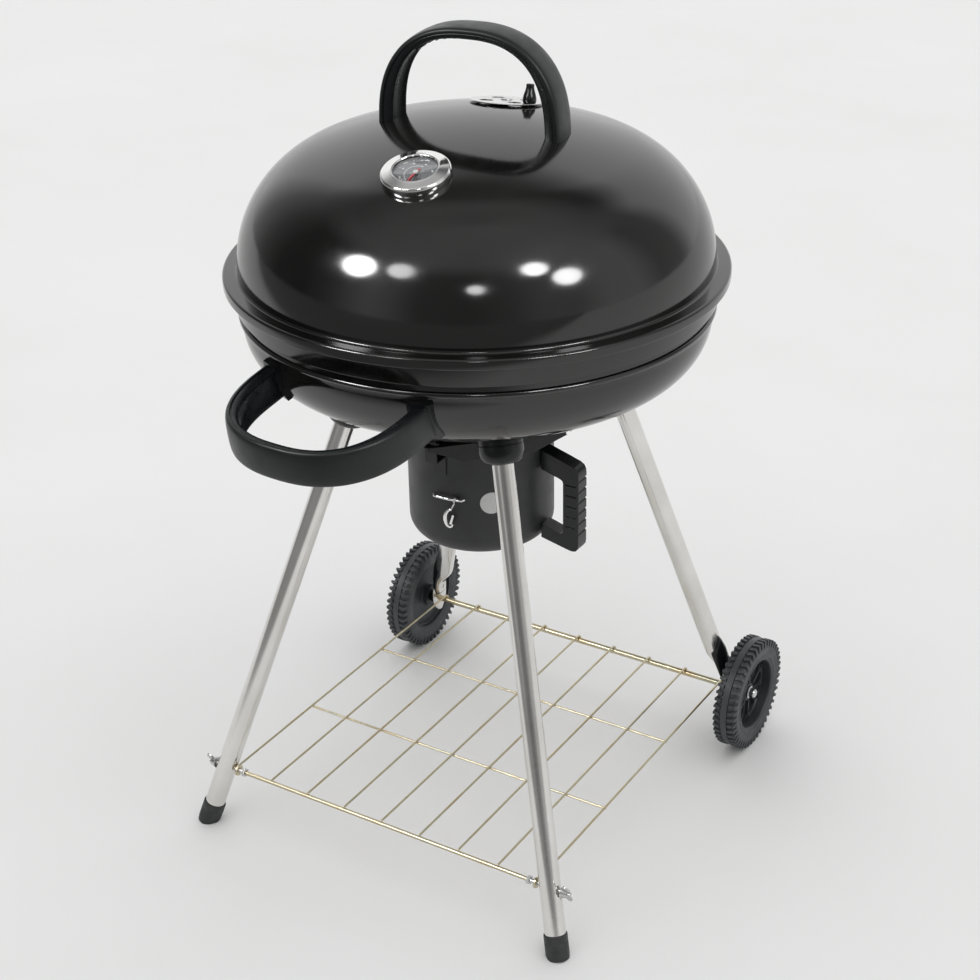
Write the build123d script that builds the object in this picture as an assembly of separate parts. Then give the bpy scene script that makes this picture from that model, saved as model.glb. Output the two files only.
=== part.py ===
from build123d import *
import math
import os

# Kettle charcoal grill. Millimetres, +Z up, floor at Z = 0.
# The model is laid out around the kettle's vertical axis, then moved back by
# KETTLE_Y so that the origin is the centre of the whole grill's footprint.
# +X runs along the wheel axle, +Y points to the wheels at the back.

KETTLE_Y = 33.46

# Kettle
SHEET = 1.2
BOWL_R = 273.2
BOWL_SHOULDER = 72.0
BOWL_CAP = 463.0
BOWL_WALL_Z = 669.4
BOWL_BEAD_Z = 677.0
BOWL_BEAD = 4.0
BOWL_LIP_Z = 716.0
BOWL_TOP_Z = 721.7
BOWL_LIP_R = 276.0
BOWL_OUTLET_R = 60.0
LID_R = 274.7
LID_SHOULDER = 138.0
LID_CAP = 556.0
LID_WALL_Z = 729.5
FLANGE_R = 292.0
FLANGE_Z = 725.0
LIP_BOTTOM_Z = 713.0
SKIRT_R = 279.0
SKIRT_BOTTOM_Z = 688.6
LID_SEAT_Z = 722.0

# The loose lid sits turned a little on the bowl.
LID_TURN = 8.0

# Stand
TUBE_R = 12.7
TUBE_BORE_R = 11.5
FRONT_FOOT = Vector(258.0, -263.0, 0.0)
FRONT_TOP = Vector(98.0, -116.0, 580.0)
REAR_FOOT = Vector(231.4, 244.8, 75.5)
REAR_TOP = Vector(84.0, 145.5, 580.0)
FOOT_CAP_R = 14.2
FOOT_CAP_HEIGHT = 27.0
FOOT_CAP_FLOOR = 3.0
SOCKET_R = 26.0
SOCKET_LENGTH = 34.0
WHEEL_R = 75.5
AXLE_R = 4.0
AXLE_Y = REAR_FOOT.Y
AXLE_Z = WHEEL_R
TYRE_INNER_X = 243.0
TYRE_OUTER_X = 275.0
HUB_FACE_X = 262.0
AXLE_END_X = 270.0
LEG_TAB = (17.0, 3.0)
RUNNING = 0.06

# Handle screws
SCREW_R = 3.0
SCREW_BORE_R = 3.05
SCREW_X = 100.0

# Rack
RACK_HALF = 220.8
RACK_WIRE_R = 1.5
RACK_ROD_R = 2.75
RACK_Z = AXLE_Z + AXLE_R + RACK_WIRE_R + 0.15
RACK_FRONT_Y = -243.4
RACK_WIRES = 9
RACK_BOLT_Z = RACK_Z - RACK_WIRE_R - RACK_ROD_R + 0.4
RACK_BOLT_R = 3.0

# Ash pot and its hanger
HANGER_Z = 533.0
HANGER_INRADIUS = 91.0
HANGER_SKIRT = 20.0
HANGER_SLOT_R = 108.0
POT_R = 88.8
POT_BOTTOM_Z = 377.0
POT_TOP_Z = 529.0
POT_CORNER = 24.0
POT_SHEET = 1.0
POT_GRIP_X = 131.0
POT_ARM_TOP_Z = 487.0
POT_ARM_BOTTOM_Z = 392.0
POT_BAR_Z = 457.0
POT_BAR_R = 93.8
POT_SCREW_Z = (494, 397)
POT_SCREW_R = 2.55
POT_BAR_WIRE_R = 1.7
POT_BAR_ANGLES = (-96.0, -71.0)
POT_POST_ANGLES = (-92.0, -75.0)
POT_HOOK_ANGLE = -79.0
POT_LABEL_ANGLE = -50.0
POT_LABEL_Z = 452.0
POT_LABEL_R = 14.0

# Grates
COOKING_Z = 700.0
COOKING_R = 262.0
CHARCOAL_Z = 592.0
CHARCOAL_R = 188.0
CROSS_INSET = 9.0

# Handles: one moulding is used on the lid and on the bowl.
HANDLE_HALF = 110.0
HANDLE_RISE = 118.0
HANDLE_WIDTH = 42.0
BOWL_HANDLE_DROOP = 8.0
BOWL_HANDLE_TURN = -2.0
BOWL_HANDLE_Z = 641.0
BOWL_HANDLE_Y = -268.0
HANDLE_SPACER = 6.0

# Lid fittings, in the lid's own directions
THERMO_DISTANCE = 150.0
THERMO_R = 38.5
THERMO_GLASS_R = 24.5
NEEDLE_REST = 165.0
VENT_X = -5.0
VENT_Y = 104.0
VENT_R = 43.0
VENT_HOLE_R = 8.0
VENT_HOLE_PITCH = 25.0
VENT_KNOB_PITCH = 34.0


def export(name, shape):
    """Write one node, moved so that the footprint's centre is the origin."""
    shape = Pos(0, KETTLE_Y, 0) * shape
    shape.label = name
    export_step(shape, "parts/" + name + ".step")


def group(pieces):
    """Several separate solids in one node."""
    return Compound(children=[solid for piece in pieces for solid in piece.solids()])


def spin(points_face):
    """Revolve a face drawn as (radius, height) about the vertical axis."""
    return revolve(Plane.XZ * points_face, axis=Axis.Z)


def ring_profile(points):
    """Closed polygon face from (radius, height) points."""
    return make_face(Polyline(*points, close=True))


def rod_between(start, end, radius):
    """Round bar from start to end."""
    start, end = Vector(*start), Vector(*end)
    along = end - start
    return extrude(Plane(origin=start, z_dir=along) * Circle(radius), along.length)


def tube_between(start, end, outer, inner):
    """Round tube from start to end."""
    along = end - start
    ring = Circle(outer) - Circle(inner)
    return extrude(Plane(origin=start, z_dir=along) * ring, along.length)


def largest(shape):
    """The biggest solid of a shape."""
    return max(shape.solids(), key=lambda solid: solid.volume)


def mirrored(shape):
    """The same piece on the other side, mirrored in X."""
    return mirror(shape, about=Plane.YZ)


def cap_angle(radius, shoulder, cap):
    """Angle from vertical at which the crown meets the shoulder."""
    return math.degrees(math.asin((radius - shoulder) / (cap - shoulder)))


def cap_centre(radius, shoulder, cap, wall_z, side):
    """Height of the crown arc's centre; side is +1 for a dome, -1 for a bowl."""
    phi = math.radians(cap_angle(radius, shoulder, cap))
    return wall_z - side * (cap - shoulder) * math.cos(phi)


LID_CENTRE_Z = cap_centre(LID_R, LID_SHOULDER, LID_CAP, LID_WALL_Z, 1)
BOWL_CENTRE_Z = cap_centre(BOWL_R, BOWL_SHOULDER, BOWL_CAP, BOWL_WALL_Z, -1)
LID_APEX_Z = LID_CENTRE_Z + LID_CAP
BOWL_BOTTOM_Z = BOWL_CENTRE_Z - BOWL_CAP


def dome_arcs(inset):
    """Crown and shoulder arcs of the lid, from the apex down to the wall."""
    phi = cap_angle(LID_R, LID_SHOULDER, LID_CAP)
    crown = CenterArc((0, LID_CENTRE_Z), LID_CAP - inset, 90, -phi)
    shoulder = CenterArc((LID_R - LID_SHOULDER, LID_WALL_Z), LID_SHOULDER - inset, 90 - phi, phi - 90)
    return crown, shoulder


def lid_outline(inset):
    """Face between the vertical axis and the dome."""
    crown, shoulder = dome_arcs(inset)
    wall = LID_R - inset
    edges = [crown, shoulder]
    edges.append(Line((wall, LID_WALL_Z), (wall, LID_SEAT_Z)))
    edges.append(Line((wall, LID_SEAT_Z), (0, LID_SEAT_Z)))
    edges.append(Line((0, LID_SEAT_Z), (0, LID_CENTRE_Z + LID_CAP - inset)))
    return make_face(Curve() + edges)


def bowl_outline(inset, start_radius, top_z):
    """Face between the vertical axis and the bowl, open radius at the bottom."""
    phi = cap_angle(BOWL_R, BOWL_SHOULDER, BOWL_CAP)
    cap = BOWL_CAP - inset
    start = math.degrees(math.asin(start_radius / cap))
    low_z = BOWL_CENTRE_Z - cap * math.cos(math.radians(start))
    wall = BOWL_R - inset
    edges = [CenterArc((0, BOWL_CENTRE_Z), cap, start - 90, phi - start)]
    shoulder_centre = (BOWL_R - BOWL_SHOULDER, BOWL_WALL_Z)
    edges.append(CenterArc(shoulder_centre, BOWL_SHOULDER - inset, phi - 90, 90 - phi))
    edges.append(Line((wall, BOWL_WALL_Z), (wall, top_z)))
    edges.append(Line((wall, top_z), (0, top_z)))
    edges.append(Line((0, top_z), (0, low_z)))
    if start_radius > 0:
        edges.append(Line((0, low_z), (start_radius, low_z)))
    return make_face(Curve() + edges)


def dome_point(distance, angle):
    """Point on the dome and its outward normal, angle from +X in degrees."""
    lean = distance / LID_CAP
    turn = math.radians(angle)
    normal = Vector(lean * math.cos(turn), lean * math.sin(turn), math.sqrt(1 - lean * lean))
    return Vector(0, 0, LID_CENTRE_Z) + normal * LID_CAP, normal


# ---------------------------------------------------------------- kettle

def make_bowl():
    outer = spin(bowl_outline(0, 0, BOWL_LIP_Z))
    inner = spin(bowl_outline(SHEET, 0, BOWL_TOP_Z + 1))
    bead = spin(Pos(BOWL_R, BOWL_BEAD_Z) * Circle(BOWL_BEAD))
    lip = spin(ring_profile([
        (BOWL_R - SHEET, BOWL_LIP_Z - 2),
        (BOWL_R, BOWL_LIP_Z - 2),
        (BOWL_LIP_R, BOWL_LIP_Z + 1),
        (BOWL_LIP_R, BOWL_TOP_Z - 1),
        (BOWL_LIP_R - 1, BOWL_TOP_Z),
        (BOWL_R - SHEET - 1, BOWL_TOP_Z),
        (BOWL_R - SHEET - 1, BOWL_LIP_Z + 1),
    ]))
    outlet = extrude(Pos(0, 0, BOWL_BOTTOM_Z - 5) * Circle(BOWL_OUTLET_R), 30)
    bowl = outer + bead - inner + lip - outlet
    for side in (-1, 1):
        bowl -= bowl_handle_place() * extrude(Pos(side * SCREW_X, 0, -60) * Circle(SCREW_BORE_R), 84)
    return bowl


def make_lid_shell():
    wall = LID_R - SHEET
    rim = spin(ring_profile([
        (wall, LID_WALL_Z + 1),
        (LID_R, LID_WALL_Z + 1),
        (LID_R + 1.2, FLANGE_Z + 2.2),
        (LID_R + 4.5, FLANGE_Z + 0.4),
        (FLANGE_R - 3, FLANGE_Z),
        (FLANGE_R - 0.9, FLANGE_Z - 0.9),
        (FLANGE_R, FLANGE_Z - 3),
        (FLANGE_R, LIP_BOTTOM_Z),
        (FLANGE_R - SHEET, LIP_BOTTOM_Z),
        (FLANGE_R - SHEET, LID_SEAT_Z),
        (SKIRT_R, LID_SEAT_Z),
        (SKIRT_R, SKIRT_BOTTOM_Z),
        (SKIRT_R - SHEET, SKIRT_BOTTOM_Z),
        (SKIRT_R - SHEET, LID_SEAT_Z),
        (wall, LID_SEAT_Z),
    ]))
    dome = spin(lid_outline(0)) - spin(lid_outline(SHEET))
    shell = dome + rim
    centre, normal = dome_point(math.hypot(VENT_X, VENT_Y), math.degrees(math.atan2(VENT_Y, VENT_X)))
    vent = Plane(origin=centre, x_dir=(1, 0, 0), z_dir=normal)
    holes = vent_holes(vent, VENT_HOLE_R, 20)
    holes += extrude(vent * Circle(4.05), 10, both=True)
    stem_at, stem_axis = dome_point(THERMO_DISTANCE, -90)
    holes += extrude(Plane(origin=stem_at, z_dir=stem_axis) * Circle(5.05), 10, both=True)
    for side in (-1, 1):
        holes += extrude(Pos(side * SCREW_X, 0, LID_APEX_Z - 25) * Circle(SCREW_BORE_R), 40)
    return shell - holes


def vent_holes(plane, radius, depth):
    """Four round holes on a circle, cut both ways through a plane."""
    discs = []
    for k in range(4):
        discs.append(plane * (Rot(0, 0, 90 * k + 45) * Pos(VENT_HOLE_PITCH, 0) * Circle(radius)))
    cutter = extrude(discs[0], depth / 2, both=True)
    for disc in discs[1:]:
        cutter += extrude(disc, depth / 2, both=True)
    return cutter


# ---------------------------------------------------------------- handles

def make_handle():
    """Arch in the XZ plane, feet at the bottom reaching a little below Z = 0."""
    outer = [(HANDLE_HALF, -14), (HANDLE_HALF - 1, 27), (HANDLE_HALF - 7, 52), (HANDLE_HALF - 18, 76),
             (HANDLE_HALF - 33, 95), (HANDLE_HALF - 56, 110), (HANDLE_HALF - 85, 116.7), (0, HANDLE_RISE)]
    inner = [(HANDLE_HALF - 18, -14), (HANDLE_HALF - 20, 27), (HANDLE_HALF - 24, 52), (HANDLE_HALF - 34, 74),
             (HANDLE_HALF - 50, 90), (HANDLE_HALF - 75, 101), (0, HANDLE_RISE - 13)]
    outer_full = outer + [(-x, z) for x, z in reversed(outer[:-1])]
    inner_full = inner + [(-x, z) for x, z in reversed(inner[:-1])]
    outline = Curve() + [
        Spline(*outer_full, tangents=[(0, 1), (0, -1)]),
        Spline(*inner_full, tangents=[(0, 1), (0, -1)]),
        Line(outer_full[0], inner_full[0]),
        Line(outer_full[-1], inner_full[-1]),
    ]
    arch = extrude(Plane.XZ * make_face(outline), HANDLE_WIDTH / 2, both=True)
    return arch


def handle_screw(length):
    """Pan-head screw, head below Z = 0, shank up."""
    return extrude(Circle(SCREW_R), length) + extrude(Circle(2 * SCREW_R), -4)


def make_lid_handle():
    arch = Pos(0, 0, LID_APEX_Z - 12.2) * make_handle()
    arch -= spin(lid_outline(0))
    for side in (-1, 1):
        arch -= extrude(Pos(side * SCREW_X, 0, LID_APEX_Z - 40) * Circle(SCREW_BORE_R), 62)
    return arch


def lid_handle_screws():
    seat = dome_point(SCREW_X, 0)[0].Z - SHEET - 2.2
    return [Pos(side * SCREW_X, 0, seat) * handle_screw(22) for side in (-1, 1)]


def bowl_handle_place():
    """Handle directions turned so that the arch points forward and a little down."""
    droop = Rot(90 + BOWL_HANDLE_DROOP, 0, 0)
    return Rot(0, 0, BOWL_HANDLE_TURN) * Pos(0, BOWL_HANDLE_Y, BOWL_HANDLE_Z) * droop


def make_bowl_handle():
    arch = bowl_handle_place() * make_handle()
    arch -= spin(bowl_outline(-HANDLE_SPACER - 0.1, 0, BOWL_TOP_Z))
    for side in (-1, 1):
        arch -= bowl_handle_place() * extrude(Pos(side * SCREW_X, 0, -60) * Circle(SCREW_BORE_R), 84)
    return largest(arch)


def bowl_handle_spacers():
    """Heat spacers between the bowl's wall and the handle's feet."""
    top_z = BOWL_BEAD_Z - BOWL_BEAD - 0.5
    wall = spin(bowl_outline(0, 0, top_z))
    limit = spin(bowl_outline(-HANDLE_SPACER, 0, top_z))
    pieces = []
    for side in (-1, 1):
        block = bowl_handle_place() * (Pos(side * SCREW_X, 0, -15) * Box(24, HANDLE_WIDTH + 6, 60))
        block = (block & limit) - wall
        block -= bowl_handle_place() * extrude(Pos(side * SCREW_X, 0, -60) * Circle(SCREW_BORE_R), 90)
        pieces.append(largest(block))
    return pieces


def bowl_handle_screws():
    return [bowl_handle_place() * (Pos(side * SCREW_X, 0, -34) * handle_screw(52)) for side in (-1, 1)]


# ---------------------------------------------------------------- lid fittings

def thermo_plane():
    centre, normal = dome_point(THERMO_DISTANCE, -90)
    return Plane(origin=centre, x_dir=(1, 0, 0), z_dir=normal)


def spin_on(plane, points):
    """Revolve a (radius, height) polygon about a plane's normal."""
    return plane * spin(ring_profile(points))


def make_thermometer():
    """Bezel, dial, glass, stem with nut, and needle, seated on the dome."""
    place = thermo_plane()
    dome = spin(lid_outline(0))
    bezel = spin_on(place, [(THERMO_GLASS_R, 3), (THERMO_GLASS_R, 9), (THERMO_GLASS_R + 2.5, 10.4),
                            (THERMO_R - 5, 10), (THERMO_R - 1.5, 6.5), (THERMO_R, 2), (THERMO_R, -3),
                            (6, -3), (6, 3)]) - dome
    dial = place * extrude(Pos(0, 0, 3) * (Circle(THERMO_GLASS_R) - Circle(1.6)), 0.8)
    glass = place * extrude(Pos(0, 0, 7.6) * Circle(THERMO_GLASS_R), 1.2)
    needle = place * make_needle()
    stem = spin_on(place, [(0, 3), (5, 3), (5, -12), (2.5, -12), (2.5, -75), (0, -75)])
    nut = place * extrude(Pos(0, 0, -9) * (RegularPolygon(9, 6) - Circle(5.0)), 6.5)
    stem -= place * extrude(Pos(0, 0, 1) * Circle(1.6), 4)
    return bezel, dial, glass, needle, stem, nut - dome_inner_cut()


def dome_inner_cut():
    """Everything above the dome's inner face."""
    return spin(lid_outline(0)) - spin(lid_outline(SHEET + 0.1))


def make_needle():
    """Pointer on its spindle, resting at the cold end of the dial."""
    hub = extrude(Pos(0, 0, 1.4) * Circle(1.5), 4.0) + extrude(Pos(0, 0, 4.6) * Circle(3.0), 1.2)
    outline = make_face(Polyline((-1.2, -7), (1.2, -7), (0.5, 21), (-0.5, 21), close=True))
    return Rot(0, 0, NEEDLE_REST) * (hub + Pos(0, 0, 4.6) * extrude(outline, 0.8))


def vent_plane():
    distance = math.hypot(VENT_X, VENT_Y)
    centre, normal = dome_point(distance, math.degrees(math.atan2(VENT_Y, VENT_X)))
    return Plane(origin=centre, x_dir=(1, 0, 0), z_dir=normal)


def make_vent():
    """Rotating damper disc, its knob and the rivet that it turns on."""
    place = vent_plane()
    disc = place * extrude(Pos(0, 0, 0.3) * (Circle(VENT_R) - Circle(4.0 + RUNNING)), 1.3)
    disc -= vent_holes(place, VENT_HOLE_R, 20)
    knob_spot = Rot(0, 0, -17) * Pos(VENT_KNOB_PITCH, 0, 1.6)
    profile = ring_profile([(0, 0), (3.5, 0), (4, 6), (7.5, 10), (8, 20), (6.5, 22), (0, 22)])
    knob = place * (knob_spot * spin(profile))
    rivet = place * (extrude(Pos(0, 0, -3) * Circle(4.0), 5.0) + extrude(Pos(0, 0, 2.0) * Circle(7.0), 1.6))
    rivet += place * extrude(Pos(0, 0, -3.2) * Circle(7.0), 1.6)
    return disc, knob, rivet


# ---------------------------------------------------------------- stand

def bowl_solid():
    return spin(bowl_outline(0, 0, BOWL_LIP_Z))


def make_front_leg():
    up = (FRONT_TOP - FRONT_FOOT).normalized()
    leg = tube_between(FRONT_FOOT - up * 20, FRONT_TOP + up * 30, TUBE_R, TUBE_BORE_R)
    leg -= Pos(0, 0, FOOT_CAP_FLOOR - 50) * Box(900, 900, 100)
    leg -= bowl_solid()
    hole_y = leg_axis_at(FRONT_FOOT, FRONT_TOP, RACK_BOLT_Z).Y
    leg -= Pos(0, hole_y, RACK_BOLT_Z) * Rot(0, 90, 0) * extrude(Circle(RACK_BOLT_R + 0.1), 600)
    return largest(leg)


def leg_axis_at(foot, top, height):
    """Point of a leg's axis at a height."""
    share = (height - foot.Z) / (top.Z - foot.Z)
    return foot + (top - foot) * share


def make_rear_leg():
    """Tube that is pressed flat around the axle at its lower end."""
    up = (REAR_TOP - REAR_FOOT).normalized()
    tube_start = REAR_FOOT + up * 62
    flat_start = REAR_FOOT + up * 10
    tube = tube_between(tube_start, REAR_TOP + up * 30, TUBE_R, TUBE_BORE_R) - bowl_solid()
    tube = largest(tube)
    side = Vector(0, 1, 0)
    half_width, half_thick = LEG_TAB
    round_end = Plane(origin=tube_start, x_dir=side, z_dir=up) * Circle(TUBE_R)
    flat_end = Plane(origin=flat_start, x_dir=side, z_dir=up) * Ellipse(half_width, half_thick)
    neck = loft([flat_end, round_end])
    tab_plane = Plane(origin=REAR_FOOT - Vector(half_thick, 0, 0), x_dir=side, z_dir=(1, 0, 0))
    tab_outline = Circle(half_width) + Pos(0, 14) * Rectangle(2 * half_width, 28)
    tab = extrude(tab_plane * tab_outline, 2 * half_thick)
    plug = rod_between(tube_start - up * 0.5, tube_start + up * 4, TUBE_R)
    leg = tube + [neck, tab, plug]
    bore = Pos(REAR_FOOT.X, AXLE_Y, AXLE_Z) * Rot(0, 90, 0) * Cylinder(AXLE_R, 60)
    return leg - bore


def make_socket(foot, top):
    """Rounded collar around a leg, cut off flush with the bowl."""
    up = (top - foot).normalized()
    meet = leg_axis_at(foot, top, 574.0)
    base = meet - up * SOCKET_LENGTH
    profile = Curve() + [
        Line((TUBE_R, 0), (TUBE_R + 0.6, 0)),
        Spline((TUBE_R + 0.6, 0), (SOCKET_R - 3.5, 6.5), (SOCKET_R, 17), tangents=[(1, 0), (0, 1)]),
        Line((SOCKET_R, 17), (SOCKET_R, 80)),
        Line((SOCKET_R, 80), (TUBE_R, 80)),
        Line((TUBE_R, 80), (TUBE_R, 0)),
    ]
    collar = Plane(origin=base, z_dir=up) * spin(make_face(profile))
    collar -= bowl_solid()
    return min(collar.solids(), key=lambda solid: solid.center().Z)


def make_foot_cap():
    up = (FRONT_TOP - FRONT_FOOT).normalized()
    body = rod_between(tuple(FRONT_FOOT - up * 20), tuple(FRONT_FOOT + up * FOOT_CAP_HEIGHT), FOOT_CAP_R)
    core = rod_between(tuple(FRONT_FOOT - up * 20), tuple(FRONT_FOOT + up * 60), TUBE_R)
    core -= Pos(0, 0, FOOT_CAP_FLOOR - 50) * Box(900, 900, 100)
    body -= Pos(0, 0, -50) * Box(900, 900, 100)
    return body - core


def make_rack():
    spacing = 2 * RACK_HALF / (RACK_WIRES - 1)
    rod_x = RACK_HALF - 13
    rod_start = (-rod_x, RACK_FRONT_Y, RACK_BOLT_Z)
    rod_end = (rod_x, RACK_FRONT_Y, RACK_BOLT_Z)
    rack = rod_between(rod_start, rod_end, RACK_ROD_R)
    wires = []
    for k in range(RACK_WIRES):
        x = -RACK_HALF + k * spacing
        wires.append(rod_between((x, RACK_FRONT_Y, RACK_Z), (x, AXLE_Y, RACK_Z), RACK_WIRE_R))
        hook = Plane(origin=(x, AXLE_Y, RACK_Z), z_dir=(0, 1, 0)) * Circle(RACK_WIRE_R)
        wires.append(revolve(hook, axis=Axis((0, AXLE_Y, AXLE_Z), (1, 0, 0)), revolution_arc=-150))
    length = AXLE_Y - RACK_FRONT_Y
    for share in (1 / 3, 2 / 3):
        y = RACK_FRONT_Y + share * length
        z = RACK_Z - 2 * RACK_WIRE_R + 0.4
        wires.append(rod_between((-RACK_HALF, y, z), (RACK_HALF, y, z), RACK_WIRE_R))
    bolt_y = leg_axis_at(FRONT_FOOT, FRONT_TOP, RACK_BOLT_Z).Y
    bores = []
    for side in (-1, 1):
        eye_at = Pos(side * (RACK_HALF - 2.5), bolt_y, RACK_BOLT_Z) * Rot(0, 90, 0)
        wires.append(eye_at * Cylinder(7, 3))
        bores.append(eye_at * Cylinder(RACK_BOLT_R + 0.1, 24))
    return rack + wires - bores


def rack_bolt(side):
    """Bolt along X in line with the rack's rod, through its eye and the front leg."""
    at = leg_axis_at(FRONT_FOOT, FRONT_TOP, RACK_BOLT_Z)
    inner = RACK_HALF - 14.3
    outer = at.X + TUBE_R + 14
    bolt = Rot(0, 90, 0) * extrude(Circle(RACK_BOLT_R), outer - inner)
    bolt += Rot(0, 90, 0) * extrude(RegularPolygon(5.5, 6), 4)
    bolt = Pos(inner, at.Y, RACK_BOLT_Z) * bolt
    return bolt if side > 0 else mirrored(bolt)


def wing_nut(side):
    at = leg_axis_at(FRONT_FOOT, FRONT_TOP, RACK_BOLT_Z)
    hub = Rot(0, 90, 0) * spin(ring_profile([(RACK_BOLT_R, 0), (7, 0), (5, 8), (RACK_BOLT_R, 8)]))
    wings = []
    for up in (-1, 1):
        wing = Plane.XZ * Pos(6.5, up * 10.5) * Ellipse(4.2, 7)
        wings.append(extrude(wing, 1, both=True))
    bore = Rot(0, 90, 0) * Cylinder(RACK_BOLT_R, 60)
    nut = hub + wings[0] + wings[1] - bore
    nut = Pos(at.X + TUBE_R + 2.9, at.Y, RACK_BOLT_Z) * Rot(28, 0, 0) * nut
    return nut if side > 0 else mirrored(nut)


def make_axle():
    return Pos(0, AXLE_Y, AXLE_Z) * Rot(0, 90, 0) * Cylinder(AXLE_R, 2 * AXLE_END_X)


def along_axle(x, shape):
    """Place a shape drawn about Z so that its base is at x, pointing outwards."""
    return Pos(x, AXLE_Y, AXLE_Z) * Rot(0, 90, 0) * shape


def axle_spacer():
    start = REAR_FOOT.X + LEG_TAB[1]
    ring = Circle(8) - Circle(AXLE_R)
    return along_axle(start, extrude(ring, TYRE_INNER_X + 1.6 - start))


def cap_nut():
    nut = extrude(RegularPolygon(8, 6), 6) + Pos(0, 0, 6) * extrude(Circle(6.3), 3.2)
    nut -= extrude(Circle(AXLE_R), AXLE_END_X - HUB_FACE_X - 0.7)
    return along_axle(HUB_FACE_X + 0.7, nut)


def make_rim():
    """Moulded wheel centre: hub, web with slots, and outer ring."""
    start = TYRE_INNER_X + 2
    width = TYRE_OUTER_X - TYRE_INNER_X - 4
    hub_length = HUB_FACE_X - start
    hub = extrude(Circle(15) - Circle(AXLE_R + RUNNING), hub_length)
    band = extrude(Circle(52) - Circle(46), width)
    web = Pos(0, 0, 7) * extrude(Circle(48) - Circle(12), 6)
    rim = hub + band + web
    for k in range(6):
        slot = Rot(0, 0, 60 * k) * Pos(31, 0) * SlotOverall(22, 13, rotation=90)
        rim -= extrude(slot, 40)
        rib = Rot(0, 0, 60 * k + 30) * Pos(30.5, 0, 13 + 2) * Box(33, 3.2, 5)
        rim += rib
    return along_axle(start, rim)


def make_tyre():
    width = TYRE_OUTER_X - TYRE_INNER_X
    crown = WHEEL_R - 1.2
    outline = [(52.3, 1.5), (64, 0), (71, 0), (crown, 3.5), (WHEEL_R, width * 0.3), (WHEEL_R, width * 0.7),
               (crown, width - 3.5), (71, width), (64, width), (52.3, width - 1.5)]
    return along_axle(TYRE_INNER_X, spin(ring_profile(outline)))


# ---------------------------------------------------------------- ash pot

def make_hanger():
    """Square plate under the bowl with four folded skirts and corner slots."""
    side = 2 * HANGER_INRADIUS
    plate = extrude(Pos(0, 0, HANGER_Z) * (Rectangle(side, side) - Circle(BOWL_OUTLET_R)), SHEET)
    skirt_face = make_face(Polyline((-88, HANGER_Z), (88, HANGER_Z), (42.5, HANGER_Z - HANGER_SKIRT),
                                    (-42.5, HANGER_Z - HANGER_SKIRT), close=True))
    skirt_plane = Plane(origin=(HANGER_INRADIUS - SHEET, 0, 0), x_dir=(0, 1, 0), z_dir=(1, 0, 0))
    skirt = extrude(skirt_plane * skirt_face, SHEET)
    for k in range(4):
        plate += Rot(0, 0, 90 * k) * skirt
    plate = Rot(0, 0, 45) * plate
    for k in range(4):
        slot = Rot(0, 0, 90 * k) * Pos(HANGER_SLOT_R, 0) * Rectangle(6, 22)
        plate -= extrude(Pos(0, 0, HANGER_Z - 2) * slot, 6)
        tip = Rot(0, 0, 90 * k) * Pos(HANGER_INRADIUS * math.sqrt(2) + 17, 0) * Rectangle(48, 60)
        plate -= extrude(Pos(0, 0, HANGER_Z - 2) * tip, 6)
    for spot in hanger_screw_spots():
        plate -= Pos(spot) * Cylinder(2.5, 30)
    return plate


def hanger_screw_spots():
    spots = []
    for k in range(4):
        angle = math.radians(90 * k + 45)
        spots.append(Vector(72 * math.cos(angle), 72 * math.sin(angle), HANGER_Z))
    return spots


def hanger_screws():
    """Screws with spacer collars that hold the plate under the bowl."""
    under = BOWL_CENTRE_Z - math.sqrt(BOWL_CAP ** 2 - 78 ** 2)
    pieces = []
    for spot in hanger_screw_spots():
        low = HANGER_Z - 3.2
        shank = Pos(spot.X, spot.Y, low) * extrude(Circle(2.5), under - low + 2)
        head = Pos(spot.X, spot.Y, low) * extrude(Circle(4.5), 3.1)
        collar = Pos(spot.X, spot.Y, HANGER_Z + SHEET) * extrude(Circle(5), under - HANGER_Z + 2)
        pieces.append(shank + head + collar - bowl_solid())
    return [largest(piece) for piece in pieces]


def make_outlet_ring():
    """Short collar that leads ash from the bowl's outlet through the plate."""
    ring = Circle(BOWL_OUTLET_R) - Circle(BOWL_OUTLET_R - 1.5)
    return extrude(Pos(0, 0, HANGER_Z) * ring, 18)


def make_pot():
    body = spin(pot_outline(0)) - spin(pot_outline(POT_SHEET))
    rim = spin(Pos(POT_R - 1.6, POT_TOP_Z - 1.6) * Circle(1.6))
    pot = body + rim
    for angle in POT_POST_ANGLES:
        pot -= radial(angle, POT_BAR_Z) * Cylinder(POT_BAR_WIRE_R, 30)
    for z in POT_SCREW_Z:
        pot -= Pos(POT_R, 0, z) * Rot(0, 90, 0) * Cylinder(POT_SCREW_R, 30)
    return pot


def pot_outline(inset):
    radius = POT_R - inset
    corner = POT_CORNER - inset
    low = POT_BOTTOM_Z + inset
    top = POT_TOP_Z - 1.6 if inset == 0 else POT_TOP_Z + 5
    edges = [Line((0, low), (radius - corner, low))]
    edges.append(CenterArc((radius - corner, low + corner), corner, -90, 90))
    edges.append(Line((radius, low + corner), (radius, top)))
    edges.append(Line((radius, top), (0, top)))
    edges.append(Line((0, top), (0, low)))
    return make_face(Curve() + edges)


def radial(angle, height, distance=None):
    """Frame on the pot's wall: local Z points outwards, local Y up."""
    turn = math.radians(angle)
    outwards = Vector(math.cos(turn), math.sin(turn), 0)
    reach = POT_R if distance is None else distance
    origin = outwards * reach + Vector(0, 0, height)
    along = (-math.sin(turn), math.cos(turn), 0)
    return Plane(origin=origin, x_dir=along, z_dir=outwards).location


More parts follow.
